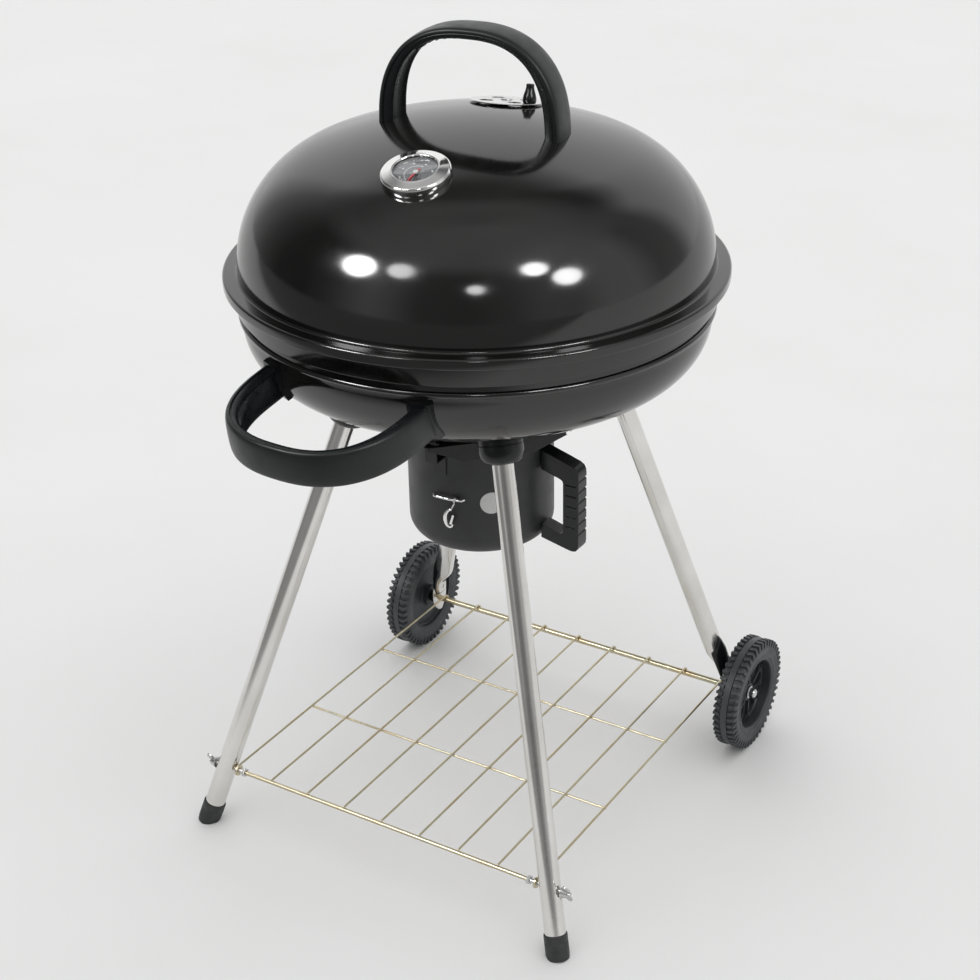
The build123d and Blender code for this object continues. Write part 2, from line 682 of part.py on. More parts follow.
def make_pot_handle():
    """Square-cornered grip with two arms that reach the pot's wall."""
    back = POT_GRIP_X + 10
    front = POT_GRIP_X - 11
    outer = [(70, 506), (86, 506), (back, 489), (back, 379), (86, 387), (70, 387)]
    window = [(60, 482), (front, 472), (front, 398), (60, 407)]
    outer_face = make_face(Polyline(*outer, close=True))
    window_face = make_face(Polyline(*window, close=True))
    loop = extrude(Plane.XZ * outer_face, 10, both=True) - extrude(Plane.XZ * window_face, 20, both=True)
    wall = extrude(Pos(0, 0, POT_BOTTOM_Z) * Circle(POT_R), POT_TOP_Z - POT_BOTTOM_Z)
    loop -= wall
    for k in range(6):
        notch = Pos(back, 0, 404 + 14 * k) * Rot(90, 0, 0) * Cylinder(1.4, 40)
        loop -= notch
    for z in POT_SCREW_Z:
        loop -= Pos(POT_R, 0, z) * Rot(0, 90, 0) * Cylinder(POT_SCREW_R, 40)
    return loop


def pot_handle_screws():
    pieces = []
    head_r = 4.5
    head_x = POT_R - POT_SHEET - 5.0
    for z in POT_SCREW_Z:
        shank = Pos(head_x, 0, z) * Rot(0, 90, 0) * extrude(Circle(POT_SCREW_R - 0.05), 22)
        head = Pos(head_x, 0, z) * Rot(0, 90, 0) * extrude(Circle(head_r), 2.4)
        pieces.append(shank + head)
    return pieces


def pot_tongues():
    """Upright tongues riveted to the pot that slide into the hanger's slots."""
    pieces = []
    for angle in (90, 270):
        foot = Pos(POT_R + 0.75, 0, 498) * Box(1.5, 16, 24)
        shelf_length = HANGER_SLOT_R - POT_R + 0.75
        shelf = Pos(POT_R + shelf_length / 2, 0, 509.25) * Box(shelf_length, 16, 1.5)
        blade = Pos(HANGER_SLOT_R, 0, 523.5) * Box(1.5, 16, 30)
        tongue = foot + shelf + blade
        wall = Cylinder(POT_R, 2000)
        pieces.append(Rot(0, 0, angle) * (tongue - wall))
    return pieces


def make_pot_bar():
    """Bright staple across the front of the pot that the hook hangs from."""
    start, end = POT_BAR_ANGLES
    section = Plane(origin=(POT_BAR_R, 0, POT_BAR_Z), z_dir=(0, 1, 0)) * Circle(POT_BAR_WIRE_R)
    bar = Rot(0, 0, start) * revolve(section, axis=Axis.Z, revolution_arc=end - start)
    for angle in POT_POST_ANGLES:
        bar += radial(angle, POT_BAR_Z, POT_R - 3) * extrude(Circle(1.6), POT_BAR_R - POT_R + 3)
    return bar


def make_pot_hook():
    """Flat C hook on a ring around the staple; it swings out from the wall."""
    ring = revolve(Pos(0, 3.2) * Circle(1.2), axis=Axis.X)
    path = [(0, -3.6), (-3, -13), (-8.5, -20), (-9, -31), (-5.5, -40), (-2.5, -36), (0.6, -24)]
    wires = []
    for start, end in zip(path, path[1:]):
        wires.append(rod_between((*start, 1.2), (*end, 1.2), 1.5))
        wires.append(Pos(*end, 1.2) * Sphere(1.5))
    return radial(POT_HOOK_ANGLE, POT_BAR_Z, POT_BAR_R) * (ring + wires)


def make_pot_label():
    shell = extrude(Pos(0, 0, 400) * (Circle(POT_R + 0.35) - Circle(POT_R)), 100)
    return shell & (radial(POT_LABEL_ANGLE, POT_LABEL_Z) * Cylinder(POT_LABEL_R, 20))


# ---------------------------------------------------------------- grates

def make_grate(radius, height, rod_r, pitch, ring_r, cross):
    """Round grate of parallel rods inside a ring, with cross bars below."""
    grate = Pos(0, 0, height) * Torus(radius - ring_r, ring_r)
    count = int((radius - 8) / pitch)
    rods = []
    for k in range(-count, count + 1):
        x = k * pitch
        half = math.sqrt((radius - ring_r) ** 2 - x * x)
        rods.append(rod_between((x, -half, height), (x, half, height), rod_r))
    for y in cross:
        half = math.sqrt((radius - ring_r) ** 2 - y * y) - CROSS_INSET
        z = height - 2 * rod_r + 0.8
        rods.append(rod_between((-half, y, z), (half, y, z), rod_r))
    return grate + rods


def grate_supports():
    """Four bent tabs welded inside the bowl under the cooking grate."""
    wall_r = BOWL_R - SHEET
    pieces = []
    for k in range(4):
        shelf = Pos(wall_r - 9, 0, COOKING_Z - 4.6) * Box(22, 20, 1.5)
        leg = Pos(wall_r - 0.9, 0, COOKING_Z - 14) * Box(3, 20, 20)
        tab = (shelf + leg) & Cylinder(wall_r, 2000)
        pieces.append(Rot(0, 0, 90 * k + 45) * tab)
    return pieces


def main():
    os.makedirs("parts", exist_ok=True)
    turn = Rot(0, 0, LID_TURN)

    export("bowl", make_bowl())
    export("bowl_handle", make_bowl_handle())
    export("bowl_handle_spacers", group(bowl_handle_spacers()))
    export("bowl_handle_screws", group(bowl_handle_screws()))
    export("grate_supports", group(grate_supports()))

    front_leg = make_front_leg()
    rear_leg = make_rear_leg()
    export("leg_front_right", front_leg)
    export("leg_front_left", mirrored(front_leg))
    export("leg_rear_right", rear_leg)
    export("leg_rear_left", mirrored(rear_leg))
    front_socket = make_socket(FRONT_FOOT, FRONT_TOP)
    rear_socket = make_socket(REAR_FOOT, REAR_TOP)
    export("socket_front_right", front_socket)
    export("socket_front_left", mirrored(front_socket))
    export("socket_rear_right", rear_socket)
    export("socket_rear_left", mirrored(rear_socket))
    foot_cap = make_foot_cap()
    export("foot_cap_right", foot_cap)
    export("foot_cap_left", mirrored(foot_cap))
    export("wire_rack", make_rack())
    export("rack_bolts", group([rack_bolt(1), rack_bolt(-1)]))
    export("rack_wing_nuts", group([wing_nut(1), wing_nut(-1)]))
    export("axle", make_axle())
    export("axle_spacers", group([axle_spacer(), mirrored(axle_spacer())]))
    export("axle_cap_nuts", group([cap_nut(), mirrored(cap_nut())]))
    export("rim_right", make_rim())
    export("rim_left", mirrored(make_rim()))
    export("tyre_right", make_tyre())
    export("tyre_left", mirrored(make_tyre()))

    export("hanger_plate", make_hanger())
    export("hanger_screws", group(hanger_screws()))
    export("outlet_ring", make_outlet_ring())
    export("ash_pot", make_pot())
    export("ash_pot_handle", make_pot_handle())
    export("ash_pot_handle_screws", group(pot_handle_screws()))
    export("ash_pot_tongues", group(pot_tongues()))
    export("ash_pot_bar", make_pot_bar())
    export("ash_pot_hook", make_pot_hook())
    export("ash_pot_label", make_pot_label())
    export("charcoal_grate", make_grate(CHARCOAL_R, CHARCOAL_Z, 2.5, 24, 3.0, (-95, 95)))
    export("cooking_grate", make_grate(COOKING_R, COOKING_Z, 2.0, 17, 2.8, (-130, 0, 130)))

    export("lid_shell", turn * make_lid_shell())
    export("lid_handle", turn * make_lid_handle())
    export("lid_handle_screws", group([turn * screw for screw in lid_handle_screws()]))
    bezel, dial, glass, needle, stem, nut = make_thermometer()
    export("thermometer_bezel", turn * bezel)
    export("thermometer_dial", turn * dial)
    export("thermometer_glass", turn * glass)
    export("thermometer_needle", turn * needle)
    export("thermometer_stem", turn * stem)
    export("thermometer_nut", turn * nut)
    disc, knob, rivet = make_vent()
    export("vent_disc", turn * disc)
    export("vent_knob", turn * knob)
    export("vent_rivet", turn * rivet)


main()
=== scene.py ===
import math

import bmesh
import bpy
from mathutils import Matrix, Vector


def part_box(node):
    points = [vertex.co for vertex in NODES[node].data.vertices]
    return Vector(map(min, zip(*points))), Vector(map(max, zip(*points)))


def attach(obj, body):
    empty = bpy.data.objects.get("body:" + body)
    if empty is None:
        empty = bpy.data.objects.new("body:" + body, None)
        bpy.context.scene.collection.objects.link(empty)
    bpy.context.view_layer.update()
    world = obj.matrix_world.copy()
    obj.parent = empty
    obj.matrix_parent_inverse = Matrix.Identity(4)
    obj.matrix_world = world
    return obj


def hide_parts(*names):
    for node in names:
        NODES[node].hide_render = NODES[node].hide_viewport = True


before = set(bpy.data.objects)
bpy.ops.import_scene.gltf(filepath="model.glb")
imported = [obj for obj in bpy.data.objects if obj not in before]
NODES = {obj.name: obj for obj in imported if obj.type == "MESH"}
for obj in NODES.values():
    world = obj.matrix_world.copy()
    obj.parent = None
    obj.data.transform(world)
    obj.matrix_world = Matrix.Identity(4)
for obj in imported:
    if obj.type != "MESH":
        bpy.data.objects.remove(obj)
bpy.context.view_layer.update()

# Kettle charcoal grill. Pieces are laid out in millimetres around the kettle's
# vertical axis, with Z = 0 on the floor, and turned into metres when they are made.

MM = 0.001

lid_low, lid_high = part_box("lid_shell")
AXIS = Vector(((lid_low.x + lid_high.x) / 2, (lid_low.y + lid_high.y) / 2, 0))

# ---------------------------------------------------------------- sizes, mm

SHEET = 1.2

# Lid: a wide crown arc runs into a tighter shoulder arc.
LID_R = 274.7
LID_SHOULDER = 138.0
LID_CAP = 556.0
LID_WALL_Z = 729.5
FLANGE_R = lid_high.x / MM
FLANGE_Z = 725.0
LIP_BOTTOM_Z = 713.0
SKIRT_R = 279.0
SKIRT_BOTTOM_Z = lid_low.z / MM
LID_TURN = Matrix.Rotation(math.radians(8), 4, "Z")

# Bowl
BOWL_R = 273.2
BOWL_SHOULDER = 72.0
BOWL_CAP = 463.0
BOWL_WALL_Z = 669.4
BOWL_BEAD_Z = 677.0
BOWL_BEAD = 4.0
BOWL_LIP_R = 276.0
BOWL_LIP_Z = 716.0
BOWL_TOP_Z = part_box("bowl")[1].z / MM
OUTLET_R = 60.0

# Loop handles
HANDLE_OUTER = (110.0, 118.0, 2.4)
HANDLE_INNER = (92.0, 105.0, 2.6)
HANDLE_HALF_WIDTH = 21.0
HANDLE_LIP = 6.0
BOWL_HANDLE_DROOP = 8.0
BOWL_HANDLE_TURN = -2.0
BOWL_HANDLE_SPOT = Vector((0, -268, 641))
HANDLE_SPACER = 6.0

# Stand
TUBE_R = 12.7
FRONT_FOOT = Vector((258, -263, 0))
FRONT_TOP = Vector((98, -116, 580))
REAR_FOOT = Vector((231.4, 244.8, 75.5))
REAR_TOP = Vector((84, 145.5, 580))
AXLE_SPOT = REAR_FOOT
TAB_HALF_WIDTH = 17.0
TAB_HALF_THICK = 3.0
SOCKET_R = 26.0
SOCKET_LIP = 24
SOCKET_TOP = 60

# Wheels
BAND_R = 74.5
LUG_CENTRE_R = 72.9
EDGE_LUG_CENTRE_R = 70.3
WHEEL_WIDTH = 32.0
WHEEL_X = 243.0
RIM_R = 52.0
LUGS = 48
SPOKES = 6

# Rack
RACK_HALF = 220.8
RACK_WIRES = 9
RACK_WIRE_R = 1.5
RACK_ROD_R = 2.75
RACK_Z = 81.15
RACK_ROD_Z = 77.3
RACK_FRONT_Y = -243.4

# Ash pot
POT_R = 88.8
POT_SHEET = 1.0
POT_TOP_Z = 529.0
POT_BOTTOM_Z = 377.0
POT_CORNER = 24.0
BAR_R = 93.8
BAR_Z = 457.0
BAR_WIRE = 1.7
BAR_ANGLES = (-96.0, -71.0)
BAR_POSTS = (-92.0, -75.0)
HOOK_ANGLE = -77.4

# Grates
COOKING_Z, COOKING_R = 700.0, 262.0
CHARCOAL_Z, CHARCOAL_R = 592.0, 188.0

# Lid fittings
THERMO_DISTANCE = 150.0
THERMO_R = 38.5
GLASS_R = 24.5
NEEDLE_REST = 165.0
VENT_SPOT = (-5.0, 104.0)
VENT_R = 43.0
VENT_HOLES = 4
VENT_HOLE_R = 8.0
VENT_HOLE_PITCH = 25.0


def crown_angle(radius, shoulder, cap):
    """Angle from vertical at which the crown arc meets the shoulder arc."""
    return math.degrees(math.asin((radius - shoulder) / (cap - shoulder)))


LID_PHI = crown_angle(LID_R, LID_SHOULDER, LID_CAP)
BOWL_PHI = crown_angle(BOWL_R, BOWL_SHOULDER, BOWL_CAP)
LID_CENTRE_Z = LID_WALL_Z - (LID_CAP - LID_SHOULDER) * math.cos(math.radians(LID_PHI))
BOWL_CENTRE_Z = BOWL_WALL_Z + (BOWL_CAP - BOWL_SHOULDER) * math.cos(math.radians(BOWL_PHI))
LID_APEX_Z = LID_CENTRE_Z + LID_CAP


# ---------------------------------------------------------------- mesh tools

class Build:
    """Collects points and faces, in millimetres."""

    def __init__(self):
        self.points = []
        self.faces = []
        self.marks = []

    def add(self, points, faces, place=None, mark=0):
        start = len(self.points)
        place = place or Matrix()
        self.points.extend(place @ Vector(point) for point in points)
        self.faces.extend(tuple(start + i for i in face) for face in faces)
        self.marks.extend([mark] * len(faces))

    def skin(self, rings, place=None, around=False, caps=True, mark=0):
        """Joins closed rings of points; around also joins the last ring to the first."""
        count = len(rings[0])
        faces = []
        for row in range(len(rings) - (0 if around else 1)):
            low, high = row * count, (row + 1) % len(rings) * count
            for i in range(count):
                j = (i + 1) % count
                faces.append((low + i, low + j, high + j, high + i))
        if caps and not around:
            faces.append(tuple(range(count))[::-1])
            faces.append(tuple((len(rings) - 1) * count + i for i in range(count)))
        self.add([point for ring in rings for point in ring], faces, place, mark)

    def lathe(self, profile, steps=96, place=None, mark=0):
        """Turns a closed (radius, height) outline about Z."""
        rings = []
        for k in range(steps):
            turn = 2 * math.pi * k / steps
            rings.append([(r * math.cos(turn), r * math.sin(turn), z) for r, z in profile])
        self.skin(rings, place, around=True, mark=mark)

    def wire(self, path, radius, sides=12, mark=0):
        """Round wire along a path, with rounded ends."""
        path = [Vector(point) for point in path]
        tangents = []
        for i in range(len(path)):
            tangents.append((path[min(i + 1, len(path) - 1)] - path[max(i - 1, 0)]).normalized())
        side = tangents[0].orthogonal().normalized()
        stations = []
        for point, tangent in zip(path, tangents):
            side = (side - tangent * side.dot(tangent)).normalized()
            stations.append((point, side, tangent.cross(side), radius))
        first, last = stations[0], stations[-1]
        stations.insert(0, (first[0] - tangents[0] * radius * 0.4, first[1], first[2], radius * 0.6))
        stations.append((last[0] + tangents[-1] * radius * 0.4, last[1], last[2], radius * 0.6))
        rings = []
        for point, x_axis, y_axis, size in stations:
            ring = []
            for k in range(sides):
                turn = 2 * math.pi * k / sides
                ring.append(point + (x_axis * math.cos(turn) + y_axis * math.sin(turn)) * size)
            rings.append(ring)
        self.skin(rings, mark=mark)

    def block(self, size, place=None, taper=1.0, mark=0):
        """Box about its centre; taper shrinks the +Z face."""
        x, y, z = (half / 2 for half in size)
        points = []
        for height, share in ((-z, 1), (z, taper)):
            points += [(-x * share, -y * share, height), (x * share, -y * share, height),
                       (x * share, y * share, height), (-x * share, y * share, height)]
        faces = [(3, 2, 1, 0), (4, 5, 6, 7), (0, 1, 5, 4), (1, 2, 6, 5), (2, 3, 7, 6), (3, 0, 4, 7)]
        self.add(points, faces, place, mark)

    def prism(self, outline, low, high, place=None, mark=0):
        """Straight-sided solid over an outline in X and Y."""
        self.skin([[(x, y, low) for x, y in outline], [(x, y, high) for x, y in outline]], place, mark=mark)


def arc(centre_r, centre_z, radius, start, end, steps):
    """Points along an arc; angles in degrees from the +r direction."""
    points = []
    for k in range(steps + 1):
        turn = math.radians(start + (end - start) * k / steps)
        points.append((centre_r + radius * math.cos(turn), centre_z + radius * math.sin(turn)))
    return points


def at(spot, z_axis, x_axis):
    """Placement whose Z follows z_axis and whose X is as near x_axis as it can be."""
    z_axis = Vector(z_axis).normalized()
    x_axis = Vector(x_axis)
    x_axis = (x_axis - z_axis * x_axis.dot(z_axis)).normalized()
    turn = Matrix((x_axis, z_axis.cross(x_axis), z_axis)).transposed().to_4x4()
    return Matrix.Translation(Vector(spot)) @ turn


def mesh_of(name, build, sharp):
    mesh = bpy.data.meshes.new(name)
    mesh.from_pydata([point * MM + AXIS for point in build.points], [], build.faces)
    mesh.polygons.foreach_set("material_index", build.marks)
    work = bmesh.new()
    work.from_mesh(mesh)
    bmesh.ops.remove_doubles(work, verts=work.verts, dist=2e-6)
    bmesh.ops.recalc_face_normals(work, faces=work.faces)
    work.to_mesh(mesh)
    work.free()
    mesh.shade_smooth()
    mesh.set_sharp_from_angle(angle=math.radians(sharp))
    return mesh


def make_piece(name, build, body, materials, replaces=(), sharp=32, cutter=None, bevel=0.0):
    """One visible piece that rides on a CAD body."""
    piece = bpy.data.objects.new(name, mesh_of(name, build, sharp))
    bpy.context.scene.collection.objects.link(piece)
    if cutter:
        cut(piece, cutter, sharp)
    if bevel:
        rounding = piece.modifiers.new("rounding", "BEVEL")
        rounding.width = bevel * MM
        rounding.segments = 3
        rounding.limit_method = "ANGLE"
        rounding.angle_limit = math.radians(40)
        rounding.harden_normals = True
    for material in materials:
        piece.data.materials.append(material)
    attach(piece, body)
    if replaces:
        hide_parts(*replaces)


def cut(piece, cutter, sharp):
    """Takes the cutter's solids away from the piece for good."""
    tool = bpy.data.objects.new("cutter", mesh_of("cutter", cutter, sharp))
    bpy.context.scene.collection.objects.link(tool)
    modifier = piece.modifiers.new("cut", "BOOLEAN")
    modifier.object = tool
    modifier.operation = "DIFFERENCE"
    modifier.solver = "EXACT"
    modifier.use_self = True
    bpy.context.view_layer.update()
    shown = piece.evaluated_get(bpy.context.evaluated_depsgraph_get())
    mesh = bpy.data.meshes.new_from_object(shown)
    piece.modifiers.clear()
    piece.data = mesh
    mesh.shade_smooth()
    mesh.set_sharp_from_angle(angle=math.radians(sharp))
    bpy.data.objects.remove(tool)


# ---------------------------------------------------------------- materials

class Look:
    """A principled material whose colour, roughness and bump come from nodes."""

    def __init__(self, name, **sockets):
        self.material = bpy.data.materials.new(name)
        self.material.use_nodes = True
        self.tree = self.material.node_tree
        self.shader = self.tree.nodes["Principled BSDF"]
        for socket, value in sockets.items():
            self.shader.inputs[socket.replace("_", " ")].default_value = value
        self.coords = self.tree.nodes.new("ShaderNodeTexCoord").outputs["Object"]
        self.height = None

    def stretched(self, scale):
        """Object coordinates scaled by direction."""
        mapping = self.tree.nodes.new("ShaderNodeMapping")
        mapping.inputs["Scale"].default_value = scale
        self.tree.links.new(self.coords, mapping.inputs["Vector"])
        return mapping.outputs["Vector"]

    def cloud(self, scale, detail=3.0, roughness=0.55, coords=None):
        """Noise from 0 to 1."""
        node = self.tree.nodes.new("ShaderNodeTexNoise")
        node.inputs["Scale"].default_value = scale
        node.inputs["Detail"].default_value = detail
        node.inputs["Roughness"].default_value = roughness
        self.tree.links.new(coords or self.coords, node.inputs["Vector"])
        return node.outputs["Fac"]

    def cells(self, scale, output="Color"):
        node = self.tree.nodes.new("ShaderNodeTexVoronoi")
        node.inputs["Scale"].default_value = scale
        self.tree.links.new(self.coords, node.inputs["Vector"])
        return node.outputs[output]

    def spread(self, value, low, high, start=0.3, end=0.7):
        """Maps a value from start..end to low..high."""
        node = self.tree.nodes.new("ShaderNodeMapRange")
        node.inputs["From Min"].default_value = start
        node.inputs["From Max"].default_value = end
        node.inputs["To Min"].default_value = low
        node.inputs["To Max"].default_value = high
        self.tree.links.new(value, node.inputs["Value"])
        return node.outputs["Result"]

    def blend(self, value, *colours):
        """Colours spread evenly over 0..1 of the value."""
        node = self.tree.nodes.new("ShaderNodeValToRGB")
        ramp = node.color_ramp
        while len(ramp.elements) < len(colours):
            ramp.elements.new(0.5)
        for k, colour in enumerate(colours):
            ramp.elements[k].position = 0.3 + 0.4 * k / (len(colours) - 1)
            ramp.elements[k].color = (*colour, 1)
        self.tree.links.new(value, node.inputs["Fac"])
        return node.outputs["Color"]

    def set(self, socket, value):
        self.tree.links.new(value, self.shader.inputs[socket])

    def bump(self, value, depth, strength=1.0):
        """Adds relief of a depth in millimetres on top of what is there."""
        node = self.tree.nodes.new("ShaderNodeBump")
        node.inputs["Distance"].default_value = depth * MM
        node.inputs["Strength"].default_value = strength
        self.tree.links.new(value, node.inputs["Height"])
        if self.height:
            self.tree.links.new(self.height, node.inputs["Normal"])
        self.height = node.outputs["Normal"]
        self.tree.links.new(self.height, self.shader.inputs["Normal"])


def enamel():
    look = Look("black_enamel", Metallic=0.0, IOR=1.65)
    look.set("Base Color", look.blend(look.cloud(9), (0.004, 0.004, 0.004), (0.007, 0.007, 0.006)))
    look.set("Roughness", look.spread(look.cloud(22), 0.09, 0.15))
    look.bump(look.cloud(95, 2), 0.010)
    look.bump(look.cloud(1600, 1), 0.003)
    return look.material


def moulded(name, dark, light, rough, grain=0.02):
    """Injection-moulded plastic with a fine spark-eroded grain."""
    look = Look(name, Metallic=0.0, Specular_IOR_Level=0.36)
    look.set("Base Color", look.blend(look.cloud(40), dark, light))
    look.set("Roughness", look.spread(look.cloud(70), rough - 0.05, rough + 0.07))
    look.bump(look.cloud(2600, 2), grain)
    return look.material


def stainless():
    look = Look("polished_stainless", Metallic=1.0)
    streaks = look.cloud(1, 4, 0.6, look.stretched((900, 900, 12)))
    look.set("Base Color", look.blend(look.cloud(14), (0.70, 0.68, 0.65), (0.80, 0.79, 0.77)))
    look.set("Roughness", look.spread(streaks, 0.09, 0.20))
    look.bump(streaks, 0.004)
    look.bump(look.cloud(30, 1), 0.02)
    return look.material


def plated(name, colours, rough, cloud=160):
    """Plated wire and small hardware: a metal with slow colour drift and fine wear."""
    look = Look(name, Metallic=1.0)
    look.set("Base Color", look.blend(look.cloud(cloud), *colours))
    look.set("Roughness", look.spread(look.cloud(420), rough - 0.04, rough + 0.06))
    look.bump(look.cloud(2400, 2), 0.002)
    return look.material


def galvanised():
    look = Look("galvanised_steel", Metallic=1.0)
    look.set("Base Color", look.blend(look.cells(130, "Distance"), (0.30, 0.31, 0.32), (0.46, 0.47, 0.48)))
    look.set("Roughness", look.spread(look.cloud(60), 0.32, 0.48))
    look.bump(look.cloud(900, 2), 0.01)
    return look.material


def matt_paint(name, dark, light):
    look = Look(name, Metallic=0.0)
    look.set("Base Color", look.blend(look.cloud(25), dark, light))
    look.set("Roughness", look.spread(look.cloud(45), 0.40, 0.50))
    look.bump(look.cloud(1900, 2), 0.012)
    look.bump(look.cloud(60, 1), 0.02)
    return look.material


def tyre_plastic():
    look = Look("tyre_plastic", Metallic=0.0)
    look.set("Base Color", look.blend(look.cloud(60), (0.042, 0.046, 0.050), (0.064, 0.068, 0.073)))
    look.set("Roughness", look.spread(look.cloud(90), 0.42, 0.62))
    look.bump(look.cloud(1800, 3), 0.03)
    return look.material


def rubber():
    look = Look("foot_rubber", Metallic=0.0)
    look.set("Base Color", look.blend(look.cloud(70), (0.014, 0.015, 0.016), (0.035, 0.036, 0.037)))
    look.set("Roughness", look.spread(look.cloud(120), 0.45, 0.65))
    look.bump(look.cloud(1400, 3), 0.03)
    return look.material


def paper():
    look = Look("label_paper", Metallic=0.0)
    look.set("Base Color", look.blend(look.cloud(300), (0.70, 0.71, 0.70), (0.78, 0.78, 0.77)))
    look.set("Roughness", look.spread(look.cloud(500), 0.45, 0.6))
    look.bump(look.cloud(1500, 3), 0.01)
    return look.material


def dial_paint():
    look = Look("dial_paint", Metallic=0.0)
    look.set("Base Color", look.blend(look.cloud(900), (0.15, 0.16, 0.17), (0.20, 0.21, 0.22)))
    look.set("Roughness", look.spread(look.cloud(300), 0.4, 0.55))
    look.bump(look.cloud(1600, 2), 0.004)
    return look.material


def clear_glass():
    look = Look("clear_glass", Metallic=0.0, Transmission_Weight=1.0, IOR=1.45)
    look.set("Base Color", look.blend(look.cloud(50), (0.97, 0.98, 0.98), (1.0, 1.0, 1.0)))
    look.set("Roughness", look.spread(look.cloud(200), 0.0, 0.02))
    return look.material


def floor_paint():
    """Pale floor that darkens from 0.85 m in front of the grill, which keeps its reflections dark."""
    look = Look("pale_floor", Metallic=0.0, Specular_IOR_Level=0.2)
    pale = look.blend(look.cloud(1.5, 4), (0.80, 0.80, 0.795), (0.83, 0.83, 0.83))
    along = look.tree.nodes.new("ShaderNodeVectorMath")
    along.operation = "DOT_PRODUCT"
    along.inputs[1].default_value = (-0.1, -1, 0)
    look.tree.links.new(look.coords, along.inputs[0])
    fade = look.tree.nodes.new("ShaderNodeMixRGB")
    fade.inputs["Color2"].default_value = (0.24, 0.24, 0.24, 1)
    look.tree.links.new(look.spread(along.outputs["Value"], 0, 1, 0.85, 1.35), fade.inputs["Fac"])
    look.tree.links.new(pale, fade.inputs["Color1"])
    look.set("Base Color", fade.outputs["Color"])
    look.set("Roughness", look.spread(look.cloud(8), 0.55, 0.7))
    return look.material


ENAMEL = enamel()
COVER = moulded("handle_cover", (0.009, 0.012, 0.012), (0.014, 0.017, 0.017), 0.36)
INNER = moulded("handle_inner", (0.005, 0.007, 0.008), (0.009, 0.011, 0.012), 0.28)
NYLON = moulded("black_nylon", (0.006, 0.007, 0.008), (0.010, 0.011, 0.012), 0.20, 0.004)
WHEEL = moulded("wheel_plastic", (0.030, 0.034, 0.039), (0.044, 0.049, 0.055), 0.42)
STAINLESS = stainless()
YELLOW_ZINC = plated("yellow_zinc", ((0.56, 0.46, 0.29), (0.62, 0.56, 0.41), (0.50, 0.49, 0.36)), 0.30, 24)
HARDWARE = plated("zinc_hardware", ((0.55, 0.56, 0.57), (0.74, 0.74, 0.73)), 0.28)
CHROME = plated("bright_chrome", ((0.84, 0.84, 0.84), (0.90, 0.89, 0.88)), 0.10, 40)
GRATE = plated("grate_plate", ((0.46, 0.45, 0.43), (0.62, 0.61, 0.59)), 0.30)
BRIGHT = plated("vent_steel", ((0.70, 0.70, 0.70), (0.80, 0.80, 0.79)), 0.24, 60)
SCREW_HEAD = plated("screw_steel", ((0.50, 0.50, 0.50), (0.66, 0.66, 0.65)), 0.32)
GALVANISED = galvanised()
MATT = matt_paint("matt_black_paint", (0.022, 0.023, 0.024), (0.032, 0.033, 0.034))
# Black paint darkened further: it paints the shade that falls on the hanger plate beneath the bowl.
BLACK_WITH_SHADE = matt_paint("black_paint_with_painted_shade", (0.005, 0.005, 0.005), (0.009, 0.009, 0.009))
TYRE = tyre_plastic()
RUBBER = rubber()
PAPER = paper()
DIAL = dial_paint()
GLASS = clear_glass()
RED = moulded("needle_red", (0.50, 0.02, 0.03), (0.62, 0.04, 0.05), 0.35, 0.004)
PRINT = moulded("dial_print", (0.60, 0.60, 0.60), (0.72, 0.72, 0.71), 0.45, 0.002)


def dome_point(distance, angle):
    """Point on the dome and its outward normal; angle in degrees from +X."""
    lean = distance / LID_CAP
    turn = math.radians(angle)
    normal = Vector((lean * math.cos(turn), lean * math.sin(turn), math.sqrt(1 - lean * lean)))
    return Vector((0, 0, LID_CENTRE_Z)) + normal * LID_CAP, normal


# ---------------------------------------------------------------- kettle

def dome_profile(inset):
    """From the apex down to the wall."""
    crown = arc(0, LID_CENTRE_Z, LID_CAP - inset, 90, 90 - LID_PHI, 30)
    shoulder = arc(LID_R - LID_SHOULDER, LID_WALL_Z, LID_SHOULDER - inset, 90 - LID_PHI, 0, 40)
    return crown + shoulder[1:]


def vent_place():
    distance = math.hypot(*VENT_SPOT)
    spot, normal = dome_point(distance, math.degrees(math.atan2(VENT_SPOT[1], VENT_SPOT[0])))
    return LID_TURN @ at(spot, normal, (1, 0, 0))


def thermo_place():
    spot, normal = dome_point(THERMO_DISTANCE, -90)
    return LID_TURN @ at(spot, normal, (1, 0, 0))


def vent_hole_tools(low, high):
    """Cylinders that cut the vent's holes, from low to high above the dome's surface."""
    tools = Build()
    for k in range(VENT_HOLES):
        turn = Matrix.Rotation(2 * math.pi * (k + 0.5) / VENT_HOLES, 4, "Z")
        spot = vent_place() @ turn @ Matrix.Translation((VENT_HOLE_PITCH, 0, 0))
        tools.lathe([(0, low), (VENT_HOLE_R, low), (VENT_HOLE_R, high), (0, high)], 32, spot)
    return tools


def lid():
    inner_wall = LID_R - SHEET
    profile = dome_profile(0)
    profile += arc(LID_R + 3.4, FLANGE_Z + 3.0, 3.4, 180, 262, 6)
    profile += arc(FLANGE_R - 3.2, FLANGE_Z - 3.2, 3.2, 88, 0, 8)
    profile += arc(FLANGE_R - 1.4, LIP_BOTTOM_Z + 1.4, 1.4, 0, -180, 8)
    profile += [(FLANGE_R - 2.8, FLANGE_Z - 3), (SKIRT_R, FLANGE_Z - 3)]
    profile += arc(SKIRT_R - 0.9, SKIRT_BOTTOM_Z + 0.9, 0.9, 0, -180, 6)
    profile += [(SKIRT_R - 1.8, FLANGE_Z - 3), (inner_wall, FLANGE_Z - 3)]
    profile += dome_profile(SHEET)[::-1]
    shell = Build()
    shell.lathe(profile, 256)
    make_piece("lid_dome", shell, "lid", [ENAMEL], ["lid_shell"],
               cutter=vent_hole_tools(-8, 8))


